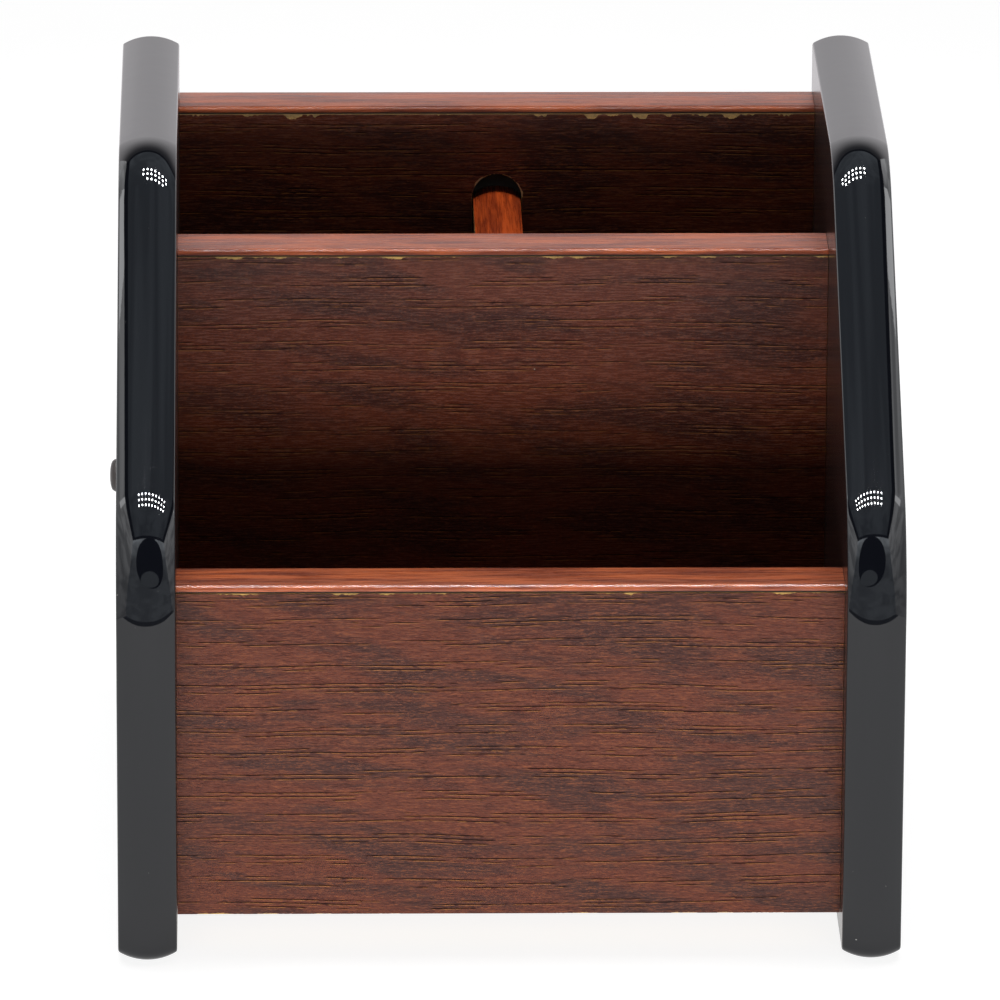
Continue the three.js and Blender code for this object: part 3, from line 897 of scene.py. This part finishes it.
def sweep_band(name, node, crown, near, far, axis, finish):
    """A band's section swept along an axis: its crown, and the recessed glue line below it."""
    settings = bpy.context.scene.pen_holder_boards
    low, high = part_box(node)
    seam, recess = low.z + settings.glue_line, settings.glue_recess
    profile = crown + [
        (near, seam), (near + recess, seam), (near + recess, low.z),
        (far - recess, low.z), (far - recess, seam), (far, seam),
    ]
    count = len(profile)
    side_slots = [1 if count - 5 <= side <= count - 3 else 0 for side in range(count)]
    start, end = low[axis], high[axis]
    rows = max(2, round((end - start) / (1.5 * MM)) + 1)
    vertices = []
    for row in range(rows):
        along = start + (end - start) * row / (rows - 1)
        vertices += [(along, a, b) if axis == 0 else (a, along, b) for a, b in profile]
    faces = tube_faces(rows, count)
    faces.append(list(range(count - 1, -1, -1)))
    faces.append(list(range((rows - 1) * count, rows * count)))
    slots = side_slots * (rows - 1) + [0, 0]
    if axis == 1:
        faces = turned_over(faces)
    return make_object(name, vertices, faces, [finish, material("Dark_Glue", glue_and_gap_shade_recipe)], slots)


def nick_band(piece, seed):
    """Tiny dents along the front edge of a band."""
    reach, deepest = 1.1 * MM, 0.10 * MM
    vertices = piece.data.vertices
    top = max(vertex.co.z for vertex in vertices)
    front = min(vertex.co.y for vertex in vertices)
    for vertex in vertices:
        from_edge = Vector((vertex.co.y - front, vertex.co.z - top)).length
        near_edge = max(0.0, 1.0 - from_edge / reach)
        dent = max(0.0, noise.noise(Vector((vertex.co.x / MM / 2.1, seed, 0.0))) - 0.25)
        vertex.co += Vector((0, 1, -1)) * (deepest * near_edge * dent)


def build_board_band(board, seed):
    """A band along a board's top, its long edges rounded."""
    node = f"{board}_edge_band"
    low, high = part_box(node)
    radius, steps = bpy.context.scene.pen_holder_boards.band_rounding, 10
    crown = []
    for centre, first in ((high.y - radius, 0.0), (low.y + radius, math.pi / 2)):
        for step in range(steps + 1):
            angle = first + (math.pi / 2) * step / steps
            crown.append((centre + radius * math.cos(angle), high.z - radius + radius * math.sin(angle)))
    finish = material(f"Edge_Band_{board}", band_recipe, 0, 1, *BAND_PAINTED_LIGHT_AND_SHINE[board])
    piece = sweep_band(f"{board}_band_finished", node, crown, low.y, high.y, 0, finish)
    nick_band(piece, seed)
    smooth_by_angle(piece, 40)
    finish_piece(piece, "edge_band", node)


def build_divider_band():
    """The crowned band on top of the divider."""
    node = "divider_edge_band"
    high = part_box(node)[1]
    half, drop, steps = high.x, 1.6 * MM, 24
    radius = (half ** 2 + drop ** 2) / (2 * drop)
    spread = math.asin(half / radius)
    crown = []
    for step in range(steps + 1):
        angle = spread - 2 * spread * step / steps
        crown.append((radius * math.sin(angle), high.z - radius + radius * math.cos(angle)))
    finish = material("Divider_Band", band_recipe, 1, 0, *BAND_PAINTED_LIGHT_AND_SHINE["divider"])
    piece = sweep_band("divider_band_finished", node, crown, -half, half, 1, finish)
    smooth_by_angle(piece, 40)
    finish_piece(piece, "divider_band", node)


class PENHOLDER_OT_bands(bpy.types.Operator):
    """Build the edge bands on the boards and the divider"""
    bl_idname = "pen_holder.bands"
    bl_label = "Edge bands"

    def execute(self, context):
        for number, board in enumerate(UPRIGHT_BOARDS):
            build_board_band(board, seed=4.0 + 9.0 * number)
        build_divider_band()
        return {"FINISHED"}


# ---- Cores ----

class PENHOLDER_OT_cores(bpy.types.Operator):
    """Give the fibreboard cores, which keep their CAD shape, their finish"""
    bl_idname = "pen_holder.cores"
    bl_label = "Cores"

    def execute(self, context):
        for node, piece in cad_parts.items():
            if node.endswith("_core"):
                piece.data.materials.clear()
                piece.data.materials.append(fibreboard())
        return {"FINISHED"}


# ---- Dowels ----

def dowel_tree():
    """Node group that puts one fluted, chamfered dowel on every point of the input."""
    tree = bpy.data.node_groups.new("Fluted_Dowels", "GeometryNodeTree")
    for name, kind in (
        ("Points", "Geometry"), ("Length", "Float"), ("Radius", "Float"), ("Chamfer", "Float"),
        ("Flute Depth", "Float"), ("Flutes", "Int"), ("Finish", "Material"),
    ):
        tree.interface.new_socket(name=name, in_out="INPUT", socket_type=f"NodeSocket{kind}")
    tree.interface.new_socket(name="Dowels", in_out="OUTPUT", socket_type="NodeSocketGeometry")
    recipe = Recipe(tree)
    given = recipe.add("NodeGroupInput").outputs
    stations, points_round = 31, 96

    def made(kind, inputs=None, **settings):
        return recipe.add(kind, inputs, **settings).outputs[0]

    def position():
        place = made("GeometryNodeInputPosition")
        return place, recipe.add("ShaderNodeSeparateXYZ", {0: place}).outputs

    half = recipe.times(given["Length"], 0.5)
    line = made("GeometryNodeCurvePrimitiveLine", {
        "Start": recipe.vector(recipe.times(half, -1.0)), "End": recipe.vector(half),
    })
    from_end = recipe.math("SUBTRACT", half, recipe.size(position()[1]["X"]))
    narrowing = recipe.larger(recipe.math("SUBTRACT", given["Chamfer"], from_end), 0.0)
    core = recipe.math("SUBTRACT", given["Radius"], narrowing)
    rail = made("GeometryNodeSetCurveRadius", {
        "Curve": made("GeometryNodeResampleCurve", {"Curve": line, "Count": stations}),
        "Radius": recipe.math("DIVIDE", core, given["Radius"]),
    })
    circle = made("GeometryNodeCurvePrimitiveCircle", {
        "Resolution": points_round, "Radius": given["Radius"],
    })
    place, axes = position()
    angle = recipe.math("ARCTAN2", axes["Y"], axes["X"])
    wave = recipe.larger(recipe.math("COSINE", recipe.times(angle, given["Flutes"])), 0.0)
    flute = recipe.times(recipe.math("POWER", wave, 3.0), given["Flute Depth"])
    shrink = recipe.math("SUBTRACT", 1.0, recipe.math("DIVIDE", flute, given["Radius"]))
    fluted = made("GeometryNodeSetPosition", {
        "Geometry": circle,
        "Position": made("ShaderNodeVectorMath", {0: place, "Scale": shrink}, operation="SCALE"),
    })
    swept = recipe.add("GeometryNodeCurveToMesh", {
        "Curve": rail, "Profile Curve": fluted, "Fill Caps": True,
    })
    if "Scale" in swept.inputs:
        recipe.feed(swept.inputs["Scale"], made("GeometryNodeInputRadius"))
    spread = made("GeometryNodeInstanceOnPoints", {
        "Points": given["Points"], "Instance": swept.outputs[0],
    })
    finished = made("GeometryNodeSetMaterial", {
        "Geometry": made("GeometryNodeRealizeInstances", {"Geometry": spread}),
        "Material": given["Finish"],
    })
    recipe.add("NodeGroupOutput", {"Dowels": finished})
    return tree


def set_inputs(modifier, values):
    """Sets a geometry nodes modifier's inputs by their identifiers."""
    for item in modifier.node_group.interface.items_tree:
        if item.in_out == "INPUT" and item.name in values:
            modifier[item.identifier] = values[item.name]


def applied(source, name):
    """A plain mesh object of what the source's modifiers make; the source is removed."""
    evaluated = source.evaluated_get(bpy.context.evaluated_depsgraph_get())
    piece = add_object(name, bpy.data.meshes.new_from_object(evaluated))
    bpy.data.objects.remove(source)
    return piece


class PENHOLDER_OT_dowels(bpy.types.Operator):
    """Build the fluted dowels in the ends of the boards"""
    bl_idname = "pen_holder.dowels"
    bl_label = "Dowels"

    def execute(self, context):
        settings = context.scene.pen_holder_fixings
        nodes = sorted(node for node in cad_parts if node.startswith("dowel_"))
        boxes = [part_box(node) for node in nodes]
        low, high = boxes[0]
        middles = [(low + high) / 2 for low, high in boxes]
        source = make_object("dowel_points", middles, [], [])
        modifier = source.modifiers.new("Dowels", "NODES")
        modifier.node_group = dowel_tree()
        set_inputs(modifier, {
            "Length": high.x - low.x, "Radius": (high.z - low.z) / 2,
            "Chamfer": settings.dowel_chamfer, "Flute Depth": settings.flute_depth,
            "Flutes": settings.flute_count, "Finish": material("Beech", beech_recipe),
        })
        piece = applied(source, "fluted_dowels")
        smooth_by_angle(piece, 35)
        finish_piece(piece, "beech", *nodes)
        return {"FINISHED"}


# ---- Screws and caps ----

def turned(name, profile, centre, side, round_steps, finish):
    """A round piece about X: profile is (distance outwards, radius), both ends on the axis."""
    vertices = []
    inner = profile[1:-1]
    for distance, radius in inner:
        vertices += ring_points(centre.x + side * distance, centre.y, centre.z, radius, round_steps)
    faces = tube_faces(len(inner), round_steps)
    first_pole, last_pole = len(vertices), len(vertices) + 1
    vertices += [(centre.x + side * end[0], centre.y, centre.z) for end in (profile[0], profile[-1])]
    last_ring = (len(inner) - 1) * round_steps
    for i, j in neighbours(round_steps):
        faces.append([first_pole, j, i])
        faces.append([last_pole, last_ring + i, last_ring + j])
    if side < 0:
        faces = turned_over(faces)
    piece = make_object(name, vertices, faces, [finish])
    smooth_by_angle(piece, 32)
    return piece


def arc_points(centre, radius, first, last, steps):
    """Points on an arc as (distance, radius) pairs; angles in degrees from the axis direction."""
    points = []
    for step in range(steps + 1):
        angle = math.radians(first + (last - first) * step / steps)
        points.append((centre[0] + radius * math.cos(angle), centre[1] + radius * math.sin(angle)))
    return points


def build_screw_cap(node, side):
    """A low domed cap with a soft rim and a stem in the screw's recess."""
    low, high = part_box(node)
    brim = (high.z - low.z) / 2
    proud = (high.x if side > 0 else -low.x) - CHEEK_OUTER_X
    stem = CHEEK_OUTER_X - (low.x if side > 0 else -high.x)
    centre = Vector((side * CHEEK_OUTER_X, (low.y + high.y) / 2, (low.z + high.z) / 2))
    rim, lower_rim = 0.55 * MM, 0.15 * MM
    stem_radius, stem_chamfer = 2.7 * MM, 0.2 * MM
    profile = [
        (-stem, 0.0), (-stem, 2.5 * MM), (-stem + stem_chamfer, stem_radius), (0.0, stem_radius),
        (0.0, brim - lower_rim),
    ]
    profile += arc_points((lower_rim, brim - lower_rim), lower_rim, 150, 90, 3)
    profile += arc_points((proud * 0.72 - rim, brim - rim), rim, 90, 35, 7)
    start, start_radius = profile[-1]
    dome_steps = 10
    for step in range(1, dome_steps + 1):
        angle = step / dome_steps * math.pi / 2
        radius = start_radius * math.cos(angle) if step < dome_steps else 0.0
        profile.append((start + (proud - start) * math.sin(angle), radius))
    piece = turned(f"{node}_finished", profile, centre, side, 64, material("Moulded_Cap", cap_recipe))
    finish_piece(piece, "cap", node)


def screw_stations(tip, head_end, head_radius):
    """Stations along a pan-head screw as (place, radius, threaded), from head to tip."""
    head_height, shank, plain_length = 2.2 * MM, 1.75 * MM, 8 * MM
    spacing = 0.15 * MM
    seat = head_end - head_height
    plain_end, point_start = seat - plain_length, tip + 2 * shank
    stations = [
        (head_end - inset, head_radius * share, False)
        for inset, share in ((0.0, 0.3), (0.15 * MM, 0.62), (0.7 * MM, 0.92), (1.1 * MM, 1.0))
    ]
    stations += [(seat, head_radius, False), (seat, shank, False), (plain_end, shank, False)]
    rows = round((plain_end - tip) / spacing)
    for row in range(1, rows):
        place = plain_end - (plain_end - tip) * row / rows
        core = shank * min(1.0, max(0.08, (place - tip) / (point_start - tip)))
        stations.append((place, core, True))
    return stations


def build_screw(node, side):
    """A pan-head wood screw whose thread winds along its shank."""
    settings = bpy.context.scene.pen_holder_fixings
    low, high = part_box(node)
    centre_y, centre_z = (low.y + high.y) / 2, (low.z + high.z) / 2
    tip, head_end = (low.x, high.x) if side > 0 else (-high.x, -low.x)
    stations = screw_stations(tip, head_end, (high.z - low.z) / 2)
    round_steps = 36
    vertices = []
    for place, radius, threaded in stations:
        for step in range(round_steps):
            turn = step / round_steps
            reach = radius
            if threaded:
                phase = (place / settings.thread_pitch - turn) % 1.0
                ridge = max(0.0, 1.0 - abs(phase - 0.5) * 4.0)
                reach = radius - min(radius * 0.45, settings.thread_depth) * (1.0 - ridge)
            angle = math.tau * turn
            vertices.append((
                side * place, centre_y + reach * math.cos(angle), centre_z + reach * math.sin(angle),
            ))
    faces = [[a, d, c, b] for a, b, c, d in tube_faces(len(stations), round_steps)]
    faces.append(list(range(round_steps)))
    faces.append(list(range(len(vertices) - 1, len(vertices) - round_steps - 1, -1)))
    if side < 0:
        faces = turned_over(faces)
    piece = make_object(f"{node}_finished", vertices, faces, [material("Zinc_Plate", steel_recipe)])
    smooth_by_angle(piece, 40)
    finish_piece(piece, "steel", node)


class PENHOLDER_OT_screws(bpy.types.Operator):
    """Build the screws and the caps that cover them"""
    bl_idname = "pen_holder.screws"
    bl_label = "Screws and caps"

    def execute(self, context):
        for hand, side in (("left", -1), ("right", 1)):
            build_screw(f"{hand}_screw", side)
            build_screw_cap(f"{hand}_screw_cap", side)
        return {"FINISHED"}


# ---- Stage ----

FLOOR_REACH = 6.0
FLOOR_DROP = 0.0001
TENT_HALF_WIDTH = 0.31
TENT_BACK = 0.33
TENT_FRONT = -0.36
TENT_HEIGHT = 0.46
TENT_SEAM = 0.030
THRESHOLD_DEPTH = 0.06
SIDE_LAMP_SPANS = ((-0.07, -0.03), (0.05, 0.09))
SIDE_LAMP_LOW, SIDE_LAMP_HIGH = 0.33, 0.425
LAMP_HALF_SIZE, LAMP_PITCH, LAMP_COLUMNS = 0.0055, 0.038, 9
# Each strip of lamps: its middle, the distance between its rows and each row's half length.
LAMP_STRIPS = ((0.085, 0.031, (0.09, 0.13, 0.13)), (-0.112, 0.034, (0.16, 0.16, 0.16)))


def glow_recipe(recipe, colour, strength):
    """Evenly glowing studio wall."""
    recipe.glow(colour, strength)


def tent_wall_recipe(recipe, colour, low, high, bottom_strength, top_strength, wrinkles):
    """Glowing tent cloth: its strength changes with height, with soft wrinkles."""
    place = recipe.millimetres()
    height = recipe.step(place[2], low, high, bottom_strength, top_strength)
    folds = recipe.figure(place, (160.0, 160.0, 60.0), 2.0, 0.5, 0.8)
    strength = recipe.times(height, recipe.step(folds, 0.35, 0.65, 1 - wrinkles, 1 + wrinkles))
    recipe.glow(colour, strength)


def floor_recipe(recipe):
    """Bright white table with a very fine mottle."""
    mottle = recipe.figure(recipe.millimetres(), (40.0, 40.0, 40.0), 3.0)
    scattered = recipe.add("ShaderNodeLightPath").outputs["Is Diffuse Ray"]
    recipe.surface(
        Base_Color=recipe.mix(mottle, (0.30, 0.30, 0.30), (0.34, 0.34, 0.34)),
        Roughness=recipe.step(mottle, 0.3, 0.7, 0.85, 0.95),
        Specular_IOR_Level=0.0,
        Emission_Color=(1.0, 1.0, 1.0),
        Emission_Strength=recipe.math("SUBTRACT", 0.86, recipe.times(scattered, 0.40)),
    )


def stage_shape(name, corners, finish):
    """A flat shape of the studio."""
    shape = make_object(name, corners, [list(range(len(corners)))], [finish])
    return shape


def hide_outside_reflections(wall):
    wall.visible_camera = False
    wall.visible_diffuse = False
    wall.visible_shadow = False
    wall.visible_transmission = False
    wall.visible_volume_scatter = False


def build_tent():
    """The light tent, which shows only in reflections: ceiling, walls and the opening in front."""
    w, b, f, h, gap = TENT_HALF_WIDTH, TENT_BACK, TENT_FRONT, TENT_HEIGHT, TENT_SEAM
    side_wall = h - gap

    def wall(name, corners, finish, build, *args):
        hide_outside_reflections(stage_shape(name, corners, material(finish, build, *args)))

    def ellipse(name, centre, half_width, half_height, finish, colour, strength):
        steps = 40
        angles = [math.tau * step / steps for step in range(steps)]
        ring = [
            (centre[0] + half_width * math.cos(a), centre[1], centre[2] + half_height * math.sin(a))
            for a in angles
        ]
        wall(name, ring, finish, glow_recipe, colour, strength)

    ceiling = [(-w + gap, f, h), (w - gap, f, h), (w - gap, b - gap, h), (-w + gap, b - gap, h)]
    wall("tent_ceiling", ceiling, "Tent_Ceiling", tent_wall_recipe,
         (0.80, 0.90, 1.0), 0.0, 1000.0, 0.42, 0.42, 0.25)
    wall("tent_back", [(-w, b, 0), (w, b, 0), (w, b, h), (-w, b, h)], "Tent_Back", tent_wall_recipe,
         (1.0, 0.97, 1.0), 270.0, 445.0, 1.13, 0.12, 0.02)
    front = [(-w, f, 0), (w, f, 0), (w, f, side_wall), (-w, f, side_wall)]
    wall("tent_front", front, "Tent_Front", tent_wall_recipe,
         (0.86, 0.93, 1.0), 250.0, 430.0, 0.55, 2.2, 0.2)
    for name, x in (("tent_left", -w), ("tent_right", w)):
        corners = [(x, f, 0), (x, b, 0), (x, b, side_wall), (x, f, side_wall)]
        wall(name, corners, "Tent_Side", tent_wall_recipe,
             (0.97, 0.98, 1.0), 60.0, 400.0, 0.8, 1.7, 0.3)
    edge = f + THRESHOLD_DEPTH
    threshold = [(-w, f, 0), (w, f, 0), (w, edge, 0), (-w, edge, 0)]
    wall("tent_threshold", threshold, "Tent_Threshold", glow_recipe, (0.9, 0.95, 1.0), 0.12)
    spans = [(side, *span) for side in (-1, 1) for span in SIDE_LAMP_SPANS]
    for number, (side, near, far) in enumerate(spans):
        x = side * (w - 1 * MM)
        corners = [
            (x, near, SIDE_LAMP_LOW), (x, far, SIDE_LAMP_LOW),
            (x, far, SIDE_LAMP_HIGH), (x, near, SIDE_LAMP_HIGH),
        ]
        wall(f"side_lamp_{number + 1}", corners, "Side_Lamp", glow_recipe, (0.97, 0.98, 1.0), 5.0)
    ellipse("tent_opening", (0.0, f + 2 * MM, 0.285), 0.21, 0.150, "Tent_Opening", (0.0, 0.0, 0.0), 0.0)
    ellipse("camera_front", (-0.02, f + 4 * MM, 0.175), 0.11, 0.036, "Camera_Front", (0.85, 0.93, 1.0), 0.5)


def build_lamp_strips():
    """Two overhead strips of small lamps, three rows each, which show only in reflections."""
    lamp = material("Tent_Lamp", glow_recipe, (0.97, 0.98, 1.0), 150.0)
    size, z = LAMP_HALF_SIZE, TENT_HEIGHT - 4 * MM
    vertices, faces = [], []
    for centre_y, row_pitch, reaches in LAMP_STRIPS:
        for row, reach in enumerate(reaches):
            y = centre_y + row_pitch * (row - 1)
            for column in range(LAMP_COLUMNS):
                x = LAMP_PITCH * (column - (LAMP_COLUMNS - 1) / 2)
                if abs(x) > reach:
                    continue
                faces.append([len(vertices) + corner for corner in range(4)])
                vertices += [
                    (x - size, y - size, z), (x + size, y - size, z),
                    (x + size, y + size, z), (x - size, y + size, z),
                ]
    lamps = make_object("tent_lamps", vertices, faces, [lamp])
    hide_outside_reflections(lamps)


def add_area_light(name, place, aim, size, power):
    light = bpy.data.lights.new(name, "AREA")
    light.shape = "RECTANGLE"
    light.size, light.size_y = size
    light.energy = power
    lamp = add_object(name, light)
    lamp.location = place
    lamp.rotation_euler = (Vector(aim) - Vector(place)).to_track_quat("-Z", "Y").to_euler()
    lamp.visible_glossy = False


def build_world(strength):
    """White surroundings: full white behind the object; as light, dimmer overhead than low down."""
    white = (1.0, 1.0, 1.0)
    world = bpy.data.worlds.new("White_Surroundings")
    bpy.context.scene.world = world
    world.use_nodes = True
    recipe = Recipe(world.node_tree)
    direction = recipe.add("ShaderNodeTexCoord").outputs["Generated"]
    height = recipe.add("ShaderNodeSeparateXYZ", {0: direction}).outputs["Z"]
    fading = recipe.step(height, 0.02, 0.5, 2.4 * strength, 0.5 * strength)
    path = recipe.add("ShaderNodeLightPath").outputs
    unreflected = recipe.math("SUBTRACT", 1.0, recipe.times(path["Is Glossy Ray"], 0.85))
    lit = recipe.add("ShaderNodeBackground", {
        "Color": white, "Strength": recipe.times(fading, unreflected),
    })
    seen = recipe.add("ShaderNodeBackground", {"Color": white, "Strength": 1.0})
    blend = recipe.add("ShaderNodeMixShader", {
        0: path["Is Camera Ray"], 1: lit.outputs[0], 2: seen.outputs[0],
    })
    recipe.add("ShaderNodeOutputWorld", {"Surface": blend.outputs[0]})


def build_camera(settings):
    """The camera, aimed by its pitch, yaw and roll, is the scene's camera."""
    data = bpy.data.cameras.new("camera")
    data.lens = settings.lens
    data.sensor_width = 36.0
    data.clip_end = 100.0
    camera = add_object("camera", data)
    camera.location = (settings.camera_side, -settings.distance_back, settings.camera_height)
    turn = Euler((0.0, 0.0, -settings.yaw)).to_matrix()
    tilt = Euler((math.pi / 2 - settings.pitch, 0.0, 0.0)).to_matrix()
    lean = Euler((0.0, 0.0, settings.roll)).to_matrix()
    camera.rotation_euler = (turn @ tilt @ lean).to_euler()
    bpy.context.scene.camera = camera


class PENHOLDER_OT_stage(bpy.types.Operator):
    """Build the floor, the studio and the camera"""
    bl_idname = "pen_holder.stage"
    bl_label = "Stage"

    def execute(self, context):
        settings = context.scene.pen_holder_stage
        reach = FLOOR_REACH
        corners = [(-reach, -reach, 0), (reach, -reach, 0), (reach, reach, 0), (-reach, reach, 0)]
        floor = stage_shape("floor", corners, material("White_Table", floor_recipe))
        floor.location.z = -FLOOR_DROP
        build_world(settings.ambient)
        build_tent()
        build_lamp_strips()
        add_area_light("top_light", (0, 0.05, 0.75), (0, 0.03, 0.05), (0.6, 0.16), settings.top_light)
        add_area_light("bounce_light", (0, -0.42, 0.01), (0, 0, 0.11), (0.8, 0.16), settings.bounce_light)
        build_camera(settings)
        context.scene.view_settings.view_transform = "Standard"
        context.scene.view_settings.look = "None"
        return {"FINISHED"}


# ---- Panel and registration ----

OPERATORS = (
    PENHOLDER_OT_cheeks,
    PENHOLDER_OT_cores,
    PENHOLDER_OT_laminates,
    PENHOLDER_OT_bands,
    PENHOLDER_OT_dowels,
    PENHOLDER_OT_screws,
    PENHOLDER_OT_stage,
)


class PENHOLDER_PT_panel(bpy.types.Panel):
    bl_idname = "PENHOLDER_PT_panel"
    bl_label = "Pen Holder"
    bl_space_type = "VIEW_3D"
    bl_region_type = "UI"
    bl_category = "Pen Holder"

    def draw(self, context):
        for operator in OPERATORS:
            self.layout.operator(operator.bl_idname)
        for name, group in SETTINGS.items():
            box = self.layout.box()
            box.label(text=name.replace("pen_holder_", "").title())
            for key in group.__annotations__:
                box.prop(getattr(context.scene, name), key)


def register():
    for group in SETTINGS.values():
        bpy.utils.register_class(group)
    for name, group in SETTINGS.items():
        setattr(bpy.types.Scene, name, PointerProperty(type=group))
    for operator in OPERATORS:
        bpy.utils.register_class(operator)
    bpy.utils.register_class(PENHOLDER_PT_panel)


def unregister():
    bpy.utils.unregister_class(PENHOLDER_PT_panel)
    for operator in reversed(OPERATORS):
        bpy.utils.unregister_class(operator)
    for name, group in SETTINGS.items():
        delattr(bpy.types.Scene, name)
        bpy.utils.unregister_class(group)


def main():
    register()
    bpy.ops.pen_holder.stage()
    bpy.ops.pen_holder.cheeks()
    bpy.ops.pen_holder.cores()
    bpy.ops.pen_holder.laminates()
    bpy.ops.pen_holder.bands()
    bpy.ops.pen_holder.dowels()
    bpy.ops.pen_holder.screws()
    bpy.context.view_layer.update()


if __name__ == "__main__":
    main()
